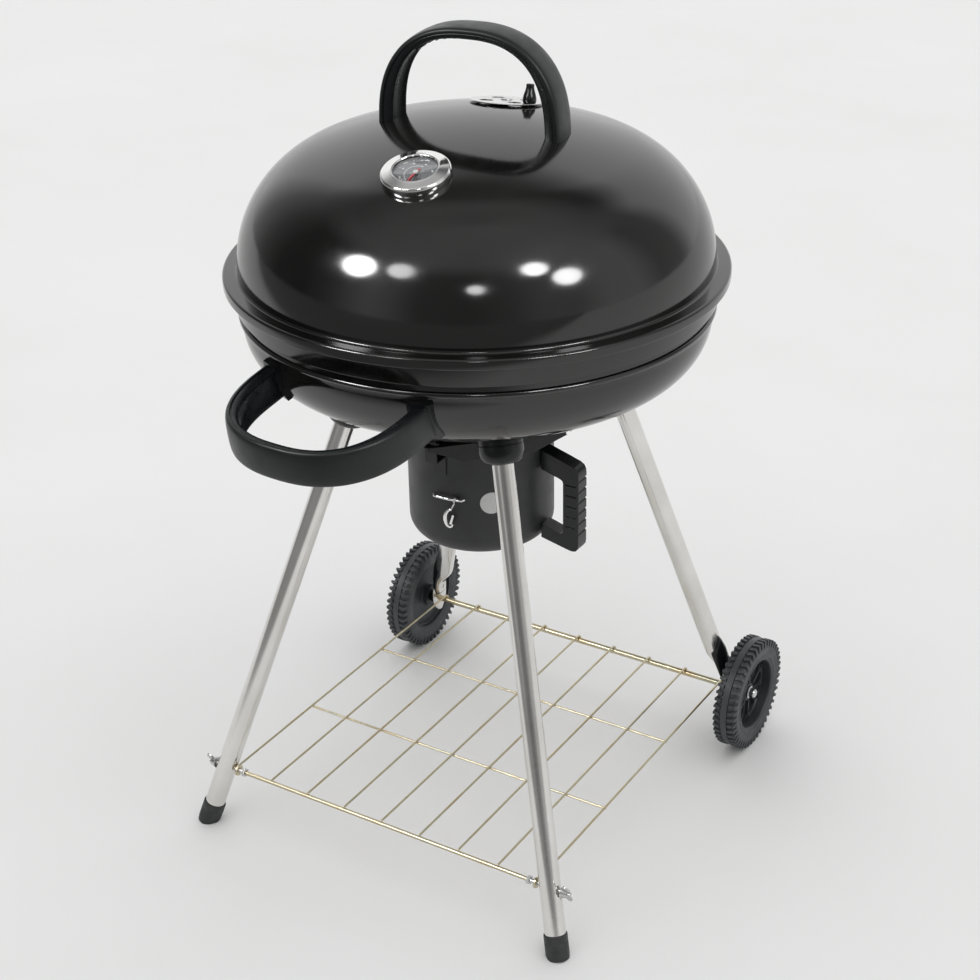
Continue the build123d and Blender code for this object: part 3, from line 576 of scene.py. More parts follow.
def bowl_profile(inset):
    """From the ash outlet up to the wall."""
    cap = BOWL_CAP - inset
    start = math.degrees(math.asin(OUTLET_R / cap))
    crown = arc(0, BOWL_CENTRE_Z, cap, start - 90, BOWL_PHI - 90, 36)
    shoulder = arc(BOWL_R - BOWL_SHOULDER, BOWL_WALL_Z, BOWL_SHOULDER - inset, BOWL_PHI - 90, 0, 30)
    return crown + shoulder[1:]


def bowl():
    profile = bowl_profile(0)
    profile += arc(BOWL_R, BOWL_BEAD_Z, BOWL_BEAD, -82, 82, 14)
    profile += [(BOWL_R, BOWL_LIP_Z - 2), (BOWL_LIP_R, BOWL_LIP_Z + 1)]
    profile += arc(BOWL_LIP_R - 1.6, BOWL_TOP_Z - 1.6, 1.6, 0, 180, 10)
    profile += [(BOWL_LIP_R - 3.2, BOWL_LIP_Z), (BOWL_R - SHEET, BOWL_LIP_Z - 2)]
    profile += bowl_profile(SHEET)[::-1]
    shell = Build()
    shell.lathe(profile, 256)
    make_piece("bowl_shell", shell, "stand", [ENAMEL], ["bowl"])


def bowl_radius(z):
    """Outer radius of the bowl at a height."""
    if z >= BOWL_WALL_Z:
        return BOWL_R
    lean = BOWL_SHOULDER * math.cos(math.radians(BOWL_PHI))
    if z >= BOWL_WALL_Z - lean:
        return BOWL_R - BOWL_SHOULDER + math.sqrt(BOWL_SHOULDER ** 2 - (z - BOWL_WALL_Z) ** 2)
    return math.sqrt(max(0.0, BOWL_CAP ** 2 - (z - BOWL_CENTRE_Z) ** 2))


# ---------------------------------------------------------------- loop handles

def arch_point(shape, turn):
    """Point of a superellipse arch over the handle's feet."""
    half, rise, power = shape
    across = math.copysign(abs(math.cos(turn)) ** (2 / power), math.cos(turn))
    return Vector((half * across, 0, rise * abs(math.sin(turn)) ** (2 / power)))


def strap_section(outer, inner):
    """Closed ring of the strap: a crowned cover with a bead, then a hollowed inner side."""
    depth = (inner - outer).length
    inwards = (inner - outer).normalized()
    half = HANDLE_HALF_WIDTH
    right = [(0, -0.3), (half * 0.4, -0.15), (half * 0.72, 0.3), (half - 2.6, 1.0), (half - 1.0, 2.0),
             (half - 0.2, 3.4), (half, 4.8), (half - 0.1, HANDLE_LIP - 0.4), (half - 0.7, HANDLE_LIP),
             (half - 1.6, HANDLE_LIP + 0.2), (half - 1.6, HANDLE_LIP + 1.2), (half - 1.3, HANDLE_LIP + 1.6),
             (half - 1.5, depth - 2.4), (half - 2.4, depth - 0.7), (half - 4.2, depth),
             (half - 7, depth - 0.5), (half - 9, depth - 1.6), (0, depth - 2.2)]
    ring = [(y, d) for y, d in right] + [(-y, d) for y, d in right[-2:0:-1]]
    return [outer + inwards * d + Vector((0, y, 0)) for y, d in ring]


def strap_marks(count_per_ring, rings):
    """Cover faces are 0 and inner faces are 1."""
    inner = set(range(8, count_per_ring - 9))
    around = [1 if i in inner else 0 for i in range(count_per_ring)]
    return around * (rings - 1)


def handle(name, body, node, place, foot_drop, reach):
    """One loop handle. reach(point) gives the real place of a foot's end point."""
    stations = []
    steps = 72
    for k in range(steps + 1):
        turn = math.pi * k / steps
        stations.append((arch_point(HANDLE_OUTER, turn), arch_point(HANDLE_INNER, turn)))
    low = Vector((0, 0, -foot_drop))
    stations.insert(0, (stations[0][0] + low, stations[0][1] + low))
    stations.append((stations[-1][0] + low, stations[-1][1] + low))
    rings = [[place @ point for point in strap_section(*station)] for station in stations]
    rings[0] = [reach(point) for point in rings[0]]
    rings[-1] = [reach(point) for point in rings[-1]]
    strap = Build()
    strap.skin(rings)
    marks = strap_marks(len(rings[0]), len(rings))
    strap.marks = marks + [1] * (len(strap.faces) - len(marks))
    for k in range(-6, 7):
        turn = math.pi / 2 + k * math.radians(6.2)
        outer, inner = arch_point(HANDLE_OUTER, turn), arch_point(HANDLE_INNER, turn)
        inwards = (inner - outer).normalized()
        spot = place @ at(inner - inwards * 0.2, inwards, (0, 1, 0))
        strap.block((31, 2.6, 4.0), spot, 0.7, mark=1)
    make_piece(name, strap, body, [COVER, INNER], [node], sharp=38)


def lid_handle():
    place = LID_TURN @ Matrix.Translation((0, 0, LID_APEX_Z - 12.6))

    def reach(point):
        spread = math.hypot(point.x, point.y)
        return Vector((point.x, point.y, LID_CENTRE_Z + math.sqrt(LID_CAP ** 2 - spread ** 2) - 0.2))

    handle("lid_loop_handle", "lid", "lid_handle", place, 2.0, reach)


def bowl_handle():
    place = Matrix.Rotation(math.radians(BOWL_HANDLE_TURN), 4, "Z") @ Matrix.Translation(BOWL_HANDLE_SPOT)
    place = place @ Matrix.Rotation(math.radians(90 + BOWL_HANDLE_DROOP), 4, "X")
    inwards = -(place.to_3x3() @ Vector((0, 0, 1)))

    def reach(point):
        start = point - inwards * 40
        for step in range(1600):
            spot = start + inwards * step * 0.1
            if math.hypot(spot.x, spot.y) < bowl_radius(spot.z) + HANDLE_SPACER:
                return spot
        return point

    handle("bowl_loop_handle", "stand", "bowl_handle", place, 4.0, reach)


# ---------------------------------------------------------------- lid fittings

def thermometer():
    place = thermo_place()
    low = -3.4
    profile = [(GLASS_R, 3.2), (GLASS_R, 8.4)]
    profile += arc(GLASS_R + 1.5, 9.6, 1.5, 180, 60, 6)
    profile += [(GLASS_R + 3.6, 10.0)]
    profile += arc(THERMO_R - 4.0, 5.6, 4.0, 68, 0, 8)
    profile += [(THERMO_R, low + 1.4), (THERMO_R - 1.0, low), (6, low + 4), (6, 3.2)]
    bezel = Build()
    bezel.lathe(profile, 128, place)
    make_piece("thermometer_ring", bezel, "lid", [CHROME], ["thermometer_bezel"], sharp=40)

    # Dark rubber ring just wider than the bezel, under its edge: it paints the shadow line where the bezel
    # sits on the lid.
    shadow_ring = Build()
    shadow_ring.lathe([(THERMO_R - 2, low + 0.6), (THERMO_R + 0.7, low + 0.8), (THERMO_R + 0.7, low - 0.4),
                  (THERMO_R - 2, low - 1.0)], 128, place)
    make_piece("thermometer_shadow_ring", shadow_ring, "lid", [RUBBER])

    face = Build()
    face.lathe([(1.7, 3.0), (GLASS_R - 0.1, 3.0), (GLASS_R - 0.1, 3.8), (1.7, 3.8)], 96, place)
    make_piece("thermometer_face", face, "lid", [DIAL], ["thermometer_dial"])
    make_piece("thermometer_scale", dial_scale(place), "lid", [PRINT])

    lens = Build()
    profile = [(0, 7.4), (GLASS_R - 0.1, 7.4), (GLASS_R - 0.1, 8.2), (GLASS_R - 0.8, 8.6), (0, 9.0)]
    lens.lathe(profile, 96, place)
    make_piece("thermometer_lens", lens, "lid", [GLASS], ["thermometer_glass"])

    needle = Build()
    turned = place @ Matrix.Rotation(math.radians(NEEDLE_REST), 4, "Z")
    needle.prism([(-1.2, -7), (1.2, -7), (1.1, 0), (0.4, 20), (-0.4, 20), (-1.1, 0)], 4.6, 5.2, turned)
    profile = [(0, 1.4), (1.5, 1.4), (1.5, 5.4), (2.6, 5.5), (2.6, 6.0), (1.6, 6.5), (0, 6.6)]
    needle.lathe(profile, 32, turned, mark=1)
    make_piece("thermometer_pointer", needle, "thermometer_needle", [RED, HARDWARE],
               ["thermometer_needle"])


def dial_scale(place):
    """Tick marks around three quarters of the dial, and a thin arc inside them."""
    scale = Build()
    ticks = 30
    for k in range(ticks + 1):
        long = k % 5 == 0
        turn = math.radians(NEEDLE_REST - 270 * k / ticks)
        length = 3.4 if long else 1.8
        turned = place @ Matrix.Rotation(turn, 4, "Z")
        spot = turned @ Matrix.Translation((0, GLASS_R - 1.6 - length / 2, 3.85))
        scale.block((0.55 if long else 0.32, length, 0.12), spot)
        if long:
            dot = turned @ Matrix.Translation((0, GLASS_R - 8.2, 3.85))
            scale.block((2.6, 1.6, 0.12), dot)
    band = []
    for k in range(46):
        turn = math.radians(NEEDLE_REST + 90 - 180 * k / 45)
        band.append((math.cos(turn), math.sin(turn)))
    inner, outer = 11.6, 12.2
    for start, end in zip(band, band[1:]):
        outline = []
        for (x, y), reach in ((start, inner), (start, outer), (end, outer), (end, inner)):
            outline.append((x * reach, y * reach))
        scale.prism(outline, 3.8, 3.9, place)
    return scale


def vent():
    place = vent_place()
    disc = Build()
    profile = [(4.1, 0.35), (VENT_R - 1.2, 0.35), (VENT_R - 0.2, 0.6), (VENT_R, 1.0), (VENT_R - 0.4, 1.5),
               (VENT_R - 1.6, 1.7), (VENT_R - 4, 1.6), (12, 1.6), (9, 2.0), (4.1, 2.0)]
    disc.lathe(profile, 128, place)
    make_piece("vent_plate", disc, "lid_vent", [BRIGHT], ["vent_disc"],
               cutter=vent_hole_tools(-4, 6))

    knob = Build()
    spot = place @ Matrix.Rotation(math.radians(-17), 4, "Z") @ Matrix.Translation((34, 0, 1.7))
    profile = [(0, 0), (6.8, 0), (7.7, 0.8), (8, 2.4), (7.9, 6), (7.0, 10), (5.6, 14), (4.7, 18), (4.7, 20.2)]
    profile += arc(3.4, 20.7, 1.3, 0, 90, 5) + [(0, 22)]
    knob.lathe(profile, 48, spot)
    make_piece("vent_grip", knob, "lid_vent", [NYLON], ["vent_knob"])

    rivet = Build()
    profile = [(0, -3.2), (6.6, -3.2), (6.6, -1.8), (4, -1.6), (4, 2.1), (7, 2.1), (6.6, 3.0), (4.5, 3.8),
               (0, 4.2)]
    rivet.lathe(profile, 48, place)
    make_piece("vent_pin", rivet, "lid", [HARDWARE], ["vent_rivet"])


# ---------------------------------------------------------------- stand

def side_name(side):
    return "right" if side > 0 else "left"


def mirrored(spot, side):
    return Vector((spot.x * side, spot.y, spot.z))


def tube_rings(stations, sides=48):
    """Rings of an oval tube: each station is a centre, two half axes as vectors."""
    rings = []
    for centre, across, through in stations:
        ring = []
        for k in range(sides):
            turn = 2 * math.pi * k / sides
            ring.append(centre + across * math.cos(turn) + through * math.sin(turn))
        rings.append(ring)
    return rings


def front_leg(side):
    foot, top = mirrored(FRONT_FOOT, side), mirrored(FRONT_TOP, side)
    up = (top - foot).normalized()
    across = up.orthogonal().normalized() * TUBE_R
    through = up.cross(across)
    leg = Build()
    spots = [foot + up * (top - foot).length * share for share in (0.012, 0.25, 0.5, 0.75, 0.975)]
    leg.skin(tube_rings([(spot, across, through) for spot in spots]))
    name = "front_" + side_name(side)
    make_piece("tube_" + name, leg, "stand", [STAINLESS], ["leg_" + name])

    cap = Build()
    place = at(foot, up, (1, 0, 0))
    profile = [(0, 3), (12.6, 3), (12.9, 26.5), (13.4, 27.4), (14.0, 27.0), (14.2, 26.2), (14.2, 18.4),
               (14.0, 18.0), (14.2, 17.6), (14.2, 3), (13.6, -3), (0, -3)]
    cap.lathe(profile, 64, place)
    cap.points = [Vector((p.x, p.y, max(p.z, 0.0))) for p in cap.points]
    side_word = side_name(side)
    make_piece("boot_" + side_word, cap, "stand", [RUBBER], ["foot_cap_" + side_word])


def rear_leg(side):
    """Round tube that is pressed flat towards the axle, ending in a rounded tab."""
    foot, top = mirrored(REAR_FOOT, side), mirrored(REAR_TOP, side)
    up = (top - foot).normalized()
    along_y = (Vector((0, 1, 0)) - up * up.y).normalized()
    sideways = up.cross(along_y)
    upright = Vector((0, 0, 1))
    stations = []
    for share in (0.975, 0.75, 0.5, 0.25):
        spot = foot + (top - foot) * share
        stations.append((spot, along_y * TUBE_R, sideways * TUBE_R))
    for k in range(13):
        share = k / 12
        ease = share * share * (3 - 2 * share)
        lean = up.lerp(upright, ease).normalized()
        height = 66 - 56 * share
        spot = foot + up * height * (1 - ease) + upright * height * ease
        wide = TUBE_R + (TAB_HALF_WIDTH - TUBE_R) * ease
        thin = TUBE_R + (TAB_HALF_THICK - TUBE_R) * ease
        across = (Vector((0, 1, 0)) - lean * lean.y).normalized()
        stations.append((spot, across * wide, lean.cross(Vector((0, 1, 0))) * thin))
    for k in range(1, 9):
        turn = math.radians(-12 + 96 * k / 8)
        spot = foot + Vector((0, 0, 8 - (8 + TAB_HALF_WIDTH) * math.sin(turn)))
        spread = max(0.3, math.cos(max(turn, 0)))
        stations.append((spot, Vector((0, TAB_HALF_WIDTH * spread, 0)), Vector((TAB_HALF_THICK, 0, 0))))
    leg = Build()
    leg.skin(tube_rings(stations))
    name = "rear_" + side_name(side)
    make_piece("tube_" + name, leg, "stand", [STAINLESS], ["leg_" + name])


def keep_cad(names, material):
    """CAD nodes whose shape is right only get a better material."""
    for name in names:
        for material_slot in NODES[name].material_slots:
            material_slot.material = material


def rack():
    wires = Build()
    spacing = 2 * RACK_HALF / (RACK_WIRES - 1)
    rear_y = REAR_FOOT.y
    hook_r = RACK_Z - REAR_FOOT.z
    for k in range(RACK_WIRES):
        x = -RACK_HALF + k * spacing
        path = [(x, RACK_FRONT_Y, RACK_Z)]
        path += [(x, RACK_FRONT_Y + (rear_y - RACK_FRONT_Y) * share, RACK_Z) for share in (0.25, 0.5, 0.75)]
        for step in range(11):
            turn = math.radians(90 - 15 * step)
            path.append((x, rear_y + hook_r * math.cos(turn), REAR_FOOT.z + hook_r * math.sin(turn)))
        wires.wire(path, RACK_WIRE_R)
    for share in (1 / 3, 2 / 3):
        y = RACK_FRONT_Y + share * (rear_y - RACK_FRONT_Y)
        z = RACK_Z - 2 * RACK_WIRE_R + 0.3
        wires.wire([(x, y, z) for x in (-RACK_HALF, 0, RACK_HALF)], RACK_WIRE_R)
    reach = RACK_HALF - 14.5
    wires.wire([(x, RACK_FRONT_Y, RACK_ROD_Z) for x in (-reach, 0, reach)], RACK_ROD_R, 20)
    share = (RACK_ROD_Z - FRONT_FOOT.z) / (FRONT_TOP.z - FRONT_FOOT.z)
    eye_y = FRONT_FOOT.y + (FRONT_TOP.y - FRONT_FOOT.y) * share
    for side in (-1, 1):
        place = at((side * (RACK_HALF - 2.5), eye_y, RACK_ROD_Z), (1, 0, 0), (0, 1, 0))
        wires.lathe([(3.1, -1.5), (6.6, -1.5), (7, -1.1), (7, 1.1), (6.6, 1.5), (3.1, 1.5)], 40, place)
    make_piece("rack_wires", wires, "stand", [YELLOW_ZINC], ["wire_rack"])


def grate(name, node, body, radius, height, rod_r, pitch, ring_r, cross):
    rods = Build()
    circle = []
    for k in range(97):
        turn = 2 * math.pi * k / 96
        circle.append(((radius - ring_r) * math.cos(turn), (radius - ring_r) * math.sin(turn), height))
    rods.wire(circle, ring_r, 16)
    count = int((radius - 8) / pitch)
    for k in range(-count, count + 1):
        x = k * pitch
        half = math.sqrt((radius - ring_r) ** 2 - x * x)
        rods.wire([(x, -half, height), (x, 0, height), (x, half, height)], rod_r)
    for y in cross:
        half = math.sqrt((radius - ring_r) ** 2 - y * y) - 9
        z = height - 2 * rod_r + 0.8
        rods.wire([(-half, y, z), (0, y, z), (half, y, z)], rod_r)
    make_piece(name, rods, body, [GRATE], [node])


# ---------------------------------------------------------------- wheels

def window_outline(grow):
    """Rounded window between two spokes, widened by grow."""
    outline = []
    for centre, long, wide, start in ((39, 5.2, 7.2, -90), (23, 4.4, 4.6, 90)):
        for step in range(13):
            turn = math.radians(start + 15 * step)
            outline.append((centre + (long + grow) * math.cos(turn), (wide + grow) * math.sin(turn)))
    return outline


def wheel(side):
    """Moulded wheel; local Z runs outwards along the axle."""
    place = at((side * WHEEL_X, AXLE_SPOT.y, AXLE_SPOT.z), (side, 0, 0), (0, 1, 0))
    word = side_name(side)
    body = "wheel_" + word
    last = WHEEL_WIDTH - 0.9

    carcass = [(RIM_R - 1, 2.2), (RIM_R + 1, 1.3), (RIM_R + 9, 0.9), (66, 0.9), (68.5, 2.2), (71, 4.2),
               (72.2, 6), (72.4, 10.8), (BAND_R, 11.4), (BAND_R, 19.8), (72.4, 20.4), (72.2, 26),
               (71, WHEEL_WIDTH - 4.2), (68.5, WHEEL_WIDTH - 2.2), (66, last), (RIM_R + 9, last),
               (RIM_R + 7.6, last - 0.8), (RIM_R + 2, last - 0.8), (RIM_R + 1, last - 0.2),
               (RIM_R - 1, last - 1.2)]
    tyre = Build()
    tyre.lathe(carcass, 144, place)
    step = 2 * math.pi / LUGS
    outwards = Matrix.Rotation(math.radians(90), 4, "Y")
    for k in range(LUGS):
        for low, high, phase, lean in ((19.5, 31.2, 0, 14), (0.8, 12.0, 0.5, -14)):
            turn = Matrix.Rotation((k + phase) * step, 4, "Z")
            spot = place @ turn @ Matrix.Translation((LUG_CENTRE_R, 0, (low + high) / 2)) @ outwards
            spot = spot @ Matrix.Rotation(math.radians(lean), 4, "Z")
            tyre.block((high - low - 1.6, 5.2, 5.0), spot, 0.78)
        for z, phase in ((WHEEL_WIDTH - 3.2, 0.0), (3.2, 0.5)):
            turn = Matrix.Rotation((k + phase) * step, 4, "Z")
            spot = place @ turn @ Matrix.Translation((EDGE_LUG_CENTRE_R, 0, z)) @ outwards
            tyre.block((5.8, 4.6, 9.6), spot, 0.72)
    make_piece("tread_" + word, tyre, body, [TYRE], ["tyre_" + word], sharp=30)

    face = WHEEL_WIDTH - 2.4
    web_in, web_out = 9.0, 15.0
    profile = [(4.2, 2.2), (15, 2.2), (15.4, web_in - 1), (17, web_in), (45, web_in), (46.5, web_in - 1.5),
               (47, 2.4), (RIM_R - 0.6, 2.2), (RIM_R - 0.6, face), (RIM_R - 2, face + 0.4), (RIM_R - 4, face),
               (RIM_R - 5.2, face - 1.6), (46, web_out + 2.0), (44.5, web_out), (16.5, web_out),
               (13.4, web_out + 1.4), (12.6, 17.6), (11.6, 18.6), (4.2, 18.8)]
    rim = Build()
    rim.lathe(profile, 120, place)
    slots = Build()
    for k in range(SPOKES):
        turn = place @ Matrix.Rotation(2 * math.pi * k / SPOKES, 4, "Z")
        slots.prism(window_outline(0), web_in + 1.6, 40, turn)
    make_piece("centre_" + word, rim, body, [WHEEL], ["rim_" + word], cutter=slots)

    ribs = Build()
    for k in range(SPOKES):
        turn = place @ Matrix.Rotation(2 * math.pi * (k + 0.5) / SPOKES, 4, "Z")
        ribs.block((32, 3.0, 4.4), turn @ Matrix.Translation((30, 0, web_out + 1.8)), 0.93)
        for sign in (-1, 1):
            branch = turn @ Matrix.Translation((40, sign * 4.6, web_out + 1.5))
            branch = branch @ Matrix.Rotation(sign * 0.6, 4, "Z")
            ribs.block((12.5, 2.2, 3.6), branch, 0.9)
    for k in range(SPOKES):
        turn = place @ Matrix.Rotation(2 * math.pi * k / SPOKES, 4, "Z")
        path = [turn @ Vector((x, y, web_out + 0.2)) for x, y in window_outline(1.0)]
        path.append(path[0])
        ribs.wire(path, 0.9, 8)
    make_piece("ribs_" + word, ribs, body, [WHEEL], bevel=0.35)


def axle_parts():
    caps = Build()
    bushes = Build()
    for side in (-1, 1):
        place = at((0, AXLE_SPOT.y, AXLE_SPOT.z), (side, 0, 0), (0, 1, 0))
        profile = [(4.02, 262.8), (8.4, 262.8), (8.6, 263.4), (6.6, 264.2), (6.3, 268.2)]
        profile += arc(3.3, 268.6, 3.0, 0, 90, 6)
        profile += [(0, 271.8), (0, 270.1), (4.02, 270.1)]
        caps.lathe(profile, 48, place)
        start, end = REAR_FOOT.x + TAB_HALF_THICK, WHEEL_X + 1.6
        bushes.lathe([(4.05, start), (8.4, start), (8.4, end - 1), (7.4, end), (4.05, end)], 48, place)
    make_piece("axle_caps", caps, "stand", [HARDWARE], ["axle_cap_nuts"])
    make_piece("axle_bushes", bushes, "stand", [NYLON], ["axle_spacers"])


# Leg shield: height up the leg, half width, bulge and distance out from the leg
SHIELD_STATIONS = [(14, 9, 4.0, 2.0), (26, 13.5, 5.5, 3.4), (44, 14.5, 9.8, 3.8), (62, 13.6, 12.9, 2.6),
                   (78, 9, 13.4, 1.2), (84, 4, 13.2, 0.4)]


def leg_boots():
    """Black moulded shields between the pressed leg ends and the wheels."""
    for side in (-1, 1):
        foot, top = mirrored(REAR_FOOT, side), mirrored(REAR_TOP, side)
        up = (top - foot).normalized()
        out = (Vector((side, 0, 0)) - up * up.x * side).normalized()
        back = up.cross(out)
        rings = []
        for height, half, offset, reach in SHIELD_STATIONS:
            centre = foot + up * height
            turns = [math.radians(-90 + 180 * k / 16) for k in range(17)]
            ring = []
            for turn in turns:
                ring.append(centre + back * half * math.sin(turn) + out * (offset * math.cos(turn) + reach))
            for turn in turns[::-1]:
                depth = offset * math.cos(turn) + reach - 1.8
                ring.append(centre + back * (half - 1.6) * math.sin(turn) + out * depth)
            rings.append(ring)
        boot = Build()
        boot.skin(rings)
        make_piece("leg_shield_" + side_name(side), boot, "stand", [NYLON])


def sockets():
    """Rounded collars where the legs meet the bowl."""
    for word, foot_spot, top_spot in (("front", FRONT_FOOT, FRONT_TOP), ("rear", REAR_FOOT, REAR_TOP)):
        for side in (-1, 1):
            foot, top = mirrored(foot_spot, side), mirrored(top_spot, side)
            up = (top - foot).normalized()
            meet = foot + (top - foot) * (574 - foot.z) / (top.z - foot.z)
            place = at(meet - up * 34, up, (1, 0, 0))
            collar = Build()
            steps = 96
            rings = []
            bore, groove = TUBE_R + 0.1, SOCKET_R - 0.6
            outline = [(bore, 3), (bore, 0.4), (TUBE_R + 1.2, 0), (18.5, 1.4), (22.4, 4.4), (24.8, 9),
                       (25.8, 14), (SOCKET_R, 19), (SOCKET_R, 22), (groove, 22.6), (groove, 23.4),
                       (SOCKET_R, SOCKET_LIP), (SOCKET_R, SOCKET_TOP), (bore, SOCKET_TOP)]
            for k in range(steps):
                turn = 2 * math.pi * k / steps
                ring = []
                for r, z in outline:
                    x, y = r * math.cos(turn), r * math.sin(turn)
                    if z == SOCKET_TOP:
                        ring.append(under_bowl(place @ Vector((x, y, SOCKET_LIP)), up))
                    else:
                        ring.append(place @ Vector((x, y, z)))
                rings.append(ring)
            collar.skin(rings, around=True)
            corner = word + "_" + side_name(side)
            make_piece("collar_" + corner, collar, "stand", [NYLON], ["socket_" + corner])


def under_bowl(point, up):
    """Moves a point up along a leg until it meets the bowl."""
    for step in range(700):
        spot = point + up * step * 0.1
        if (spot - Vector((0, 0, BOWL_CENTRE_Z))).length < BOWL_CAP:
            return spot - up * 0.1
    return point


# ---------------------------------------------------------------- ash pot

def pot():
    inner = POT_R - POT_SHEET
    low = POT_BOTTOM_Z
    profile = [(0, low), (30, low), (31, low + 0.6), (48, low + 0.6), (49, low)]
    profile += arc(POT_R - POT_CORNER, low + POT_CORNER, POT_CORNER, -90, 0, 20)
    profile += [(POT_R, 440), (POT_R, 500), (POT_R, POT_TOP_Z - 4)]
    profile += arc(POT_R - 1.5, POT_TOP_Z - 1.6, 1.6, 0, 200, 12)
    profile += [(inner, POT_TOP_Z - 4), (inner, low + POT_CORNER)]
    profile += arc(POT_R - POT_CORNER, low + POT_CORNER, POT_CORNER - POT_SHEET, 0, -90, 16)
    profile += [(49, low + 1.0), (48, low + 1.6), (31, low + 1.6), (30, low + 1.0), (0, low + 1.0)]
    shell = Build()
    shell.lathe(profile, 160)
    holes = Build()
    for angle in BAR_POSTS:
        holes.lathe([(0, -12), (1.8, -12), (1.8, 6), (0, 6)], 24, radial(angle, BAR_Z, POT_R))
    make_piece("pot_shell", shell, "ash_pot", [MATT], ["ash_pot"], cutter=holes)


def radial(angle, height, distance):
    """Placement on the pot's wall: Z outwards, Y up."""
    turn = math.radians(angle)
    outwards = Vector((math.cos(turn), math.sin(turn), 0))
    return at(outwards * distance + Vector((0, 0, height)), outwards, (-math.sin(turn), math.cos(turn), 0))


def pot_grip():
    """Square-cornered loop with grip notches, its arms cut to the pot's wall."""
    outer_x, inner_x = 141.0, 120.0
    outer = [(90, 505), (118, 497), (133, 492.5), (138, 489.5), (140.4, 485), (outer_x, 480)]
    for k in range(6):
        z = 474 - 14 * k
        outer += [(outer_x, z + 1.8), (outer_x - 1.5, z + 0.7), (outer_x - 1.5, z - 0.7), (outer_x, z - 1.8)]
    outer += [(outer_x, 389), (140.2, 384), (137.5, 380.4), (133, 379.2), (128, 379.6), (90, 387.6)]
    inner = [(90, 406), (114, 399.2), (117.5, 398.8), (119.4, 400), (inner_x, 403), (inner_x, 467),
             (119.2, 470.4), (116, 472.4), (90, 479.6)]
    half = 10.0
    loop = Build()
    upright = Matrix.Rotation(math.radians(90), 4, "X")
    loop.prism(outer + inner, -half, half, upright)
    notches = Build()
    for k in range(5):
        for y in (-half, half):
            notches.block((14, 2.6, 1.5), Matrix.Translation(((outer_x + inner_x) / 2, y, 467 - 14 * k)))
    make_piece("pot_handle", loop, "ash_pot", [NYLON], ["ash_pot_handle"], sharp=40,
               cutter=notches, bevel=1.2)


def pot_bar_and_hook():
    bar = Build()
    path = []
    start, end = BAR_ANGLES
    for angle in (start, start + 1.5):
        path.append(radial(angle, BAR_Z, POT_R + 2 + (angle - start) * 2).translation)
    for k in range(13):
        path.append(radial(start + 2.5 + (end - start - 5) * k / 12, BAR_Z, BAR_R).translation)
    for angle in (end - 1.5, end):
        path.append(radial(angle, BAR_Z, POT_R + 2 + (end - angle) * 2).translation)
    bar.wire(path, BAR_WIRE, 20)
    for angle in BAR_POSTS:
        ends = [radial(angle, BAR_Z, distance).translation for distance in (POT_R - 3, BAR_R)]
        bar.wire(ends, 1.5, 16)
    make_piece("pot_staple", bar, "ash_pot", [CHROME], ["ash_pot_bar"])

    place = radial(HOOK_ANGLE, BAR_Z, BAR_R)
    hook = Build()
    ring = [(0, 3.2 * math.cos(a), 3.2 * math.sin(a)) for a in [2 * math.pi * k / 24 for k in range(25)]]
    hook.wire([place @ Vector(point) for point in ring], 1.1, 12, mark=1)
    link = [(-0.2, -3.6, 1.0), (-2.8, -8.5, 1.3), (-5.0, -13.0, 1.3)]
    hook.wire([place @ Vector(point) for point in link], 1.0, 12, mark=1)
    band = [(-3.8, -12.4), (-6.6, -13.2), (-9.4, -15.4), (-11.4, -18.8), (-12.3, -23.0), (-12.2, -27.4),
            (-11.2, -31.4), (-9.2, -34.6), (-6.6, -36.0), (-4.2, -34.8), (-2.8, -32.0)]
    rings = []
    for i, (x, y) in enumerate(band):
        before, after = band[max(i - 1, 0)], band[min(i + 1, len(band) - 1)]
        ahead = Vector((after[0] - before[0], after[1] - before[1], 0)).normalized()
        half_width = 0.9 + 1.2 * math.sin(math.pi * i / (len(band) - 1))
        wide = Vector((ahead.y, -ahead.x, 0)) * half_width
        section = ((-1, -0.8), (-0.8, -1), (0.8, -1), (1, -0.8), (1, 0.8), (0.8, 1), (-0.8, 1), (-1, 0.8))
        rings.append([place @ (Vector((x, y, 1.3)) + wide * a + Vector((0, 0, b))) for a, b in section])
    hook.skin(rings)
    tongue = at((-3.9, -26.0, 1.3), (0.30, 1, 0), (1, 0, 0))
    hook.block((2.8, 1.8, 13.0), place @ tongue, 0.85)
    make_piece("pot_hook", hook, "ash_pot_hook", [CHROME, HARDWARE], ["ash_pot_hook"],
               sharp=38)


def cad_finishes():
    keep_cad(["bowl_handle_spacers"], NYLON)
    keep_cad(["grate_supports"], ENAMEL)
    keep_cad(["bowl_handle_screws", "lid_handle_screws", "ash_pot_handle_screws", "hanger_screws",
              "rack_bolts", "rack_wing_nuts", "thermometer_stem", "thermometer_nut"], SCREW_HEAD)
    keep_cad(["axle"], YELLOW_ZINC)
    # The hanger plate is black; its paint is darkened further to paint the shade beneath the bowl.
    keep_cad(["hanger_plate"], BLACK_WITH_SHADE)
    keep_cad(["ash_pot_tongues"], MATT)
    keep_cad(["outlet_ring"], GALVANISED)
    keep_cad(["ash_pot_label"], PAPER)


# ---------------------------------------------------------------- stage

def stage():
    reach = 30.0
    corners = [(-reach, -reach, 0), (reach, -reach, 0), (reach, reach, 0), (-reach, reach, 0)]
    mesh = bpy.data.meshes.new("floor")
    mesh.from_pydata(corners, [], [(0, 1, 2, 3)])
    floor = bpy.data.objects.new("floor", mesh)
    bpy.context.scene.collection.objects.link(floor)
    mesh.materials.append(floor_paint())


def aim(thing, spot, target):
    thing.location = spot
    thing.rotation_euler = (Vector(target) - Vector(spot)).to_track_quat("-Z", "Y").to_euler()


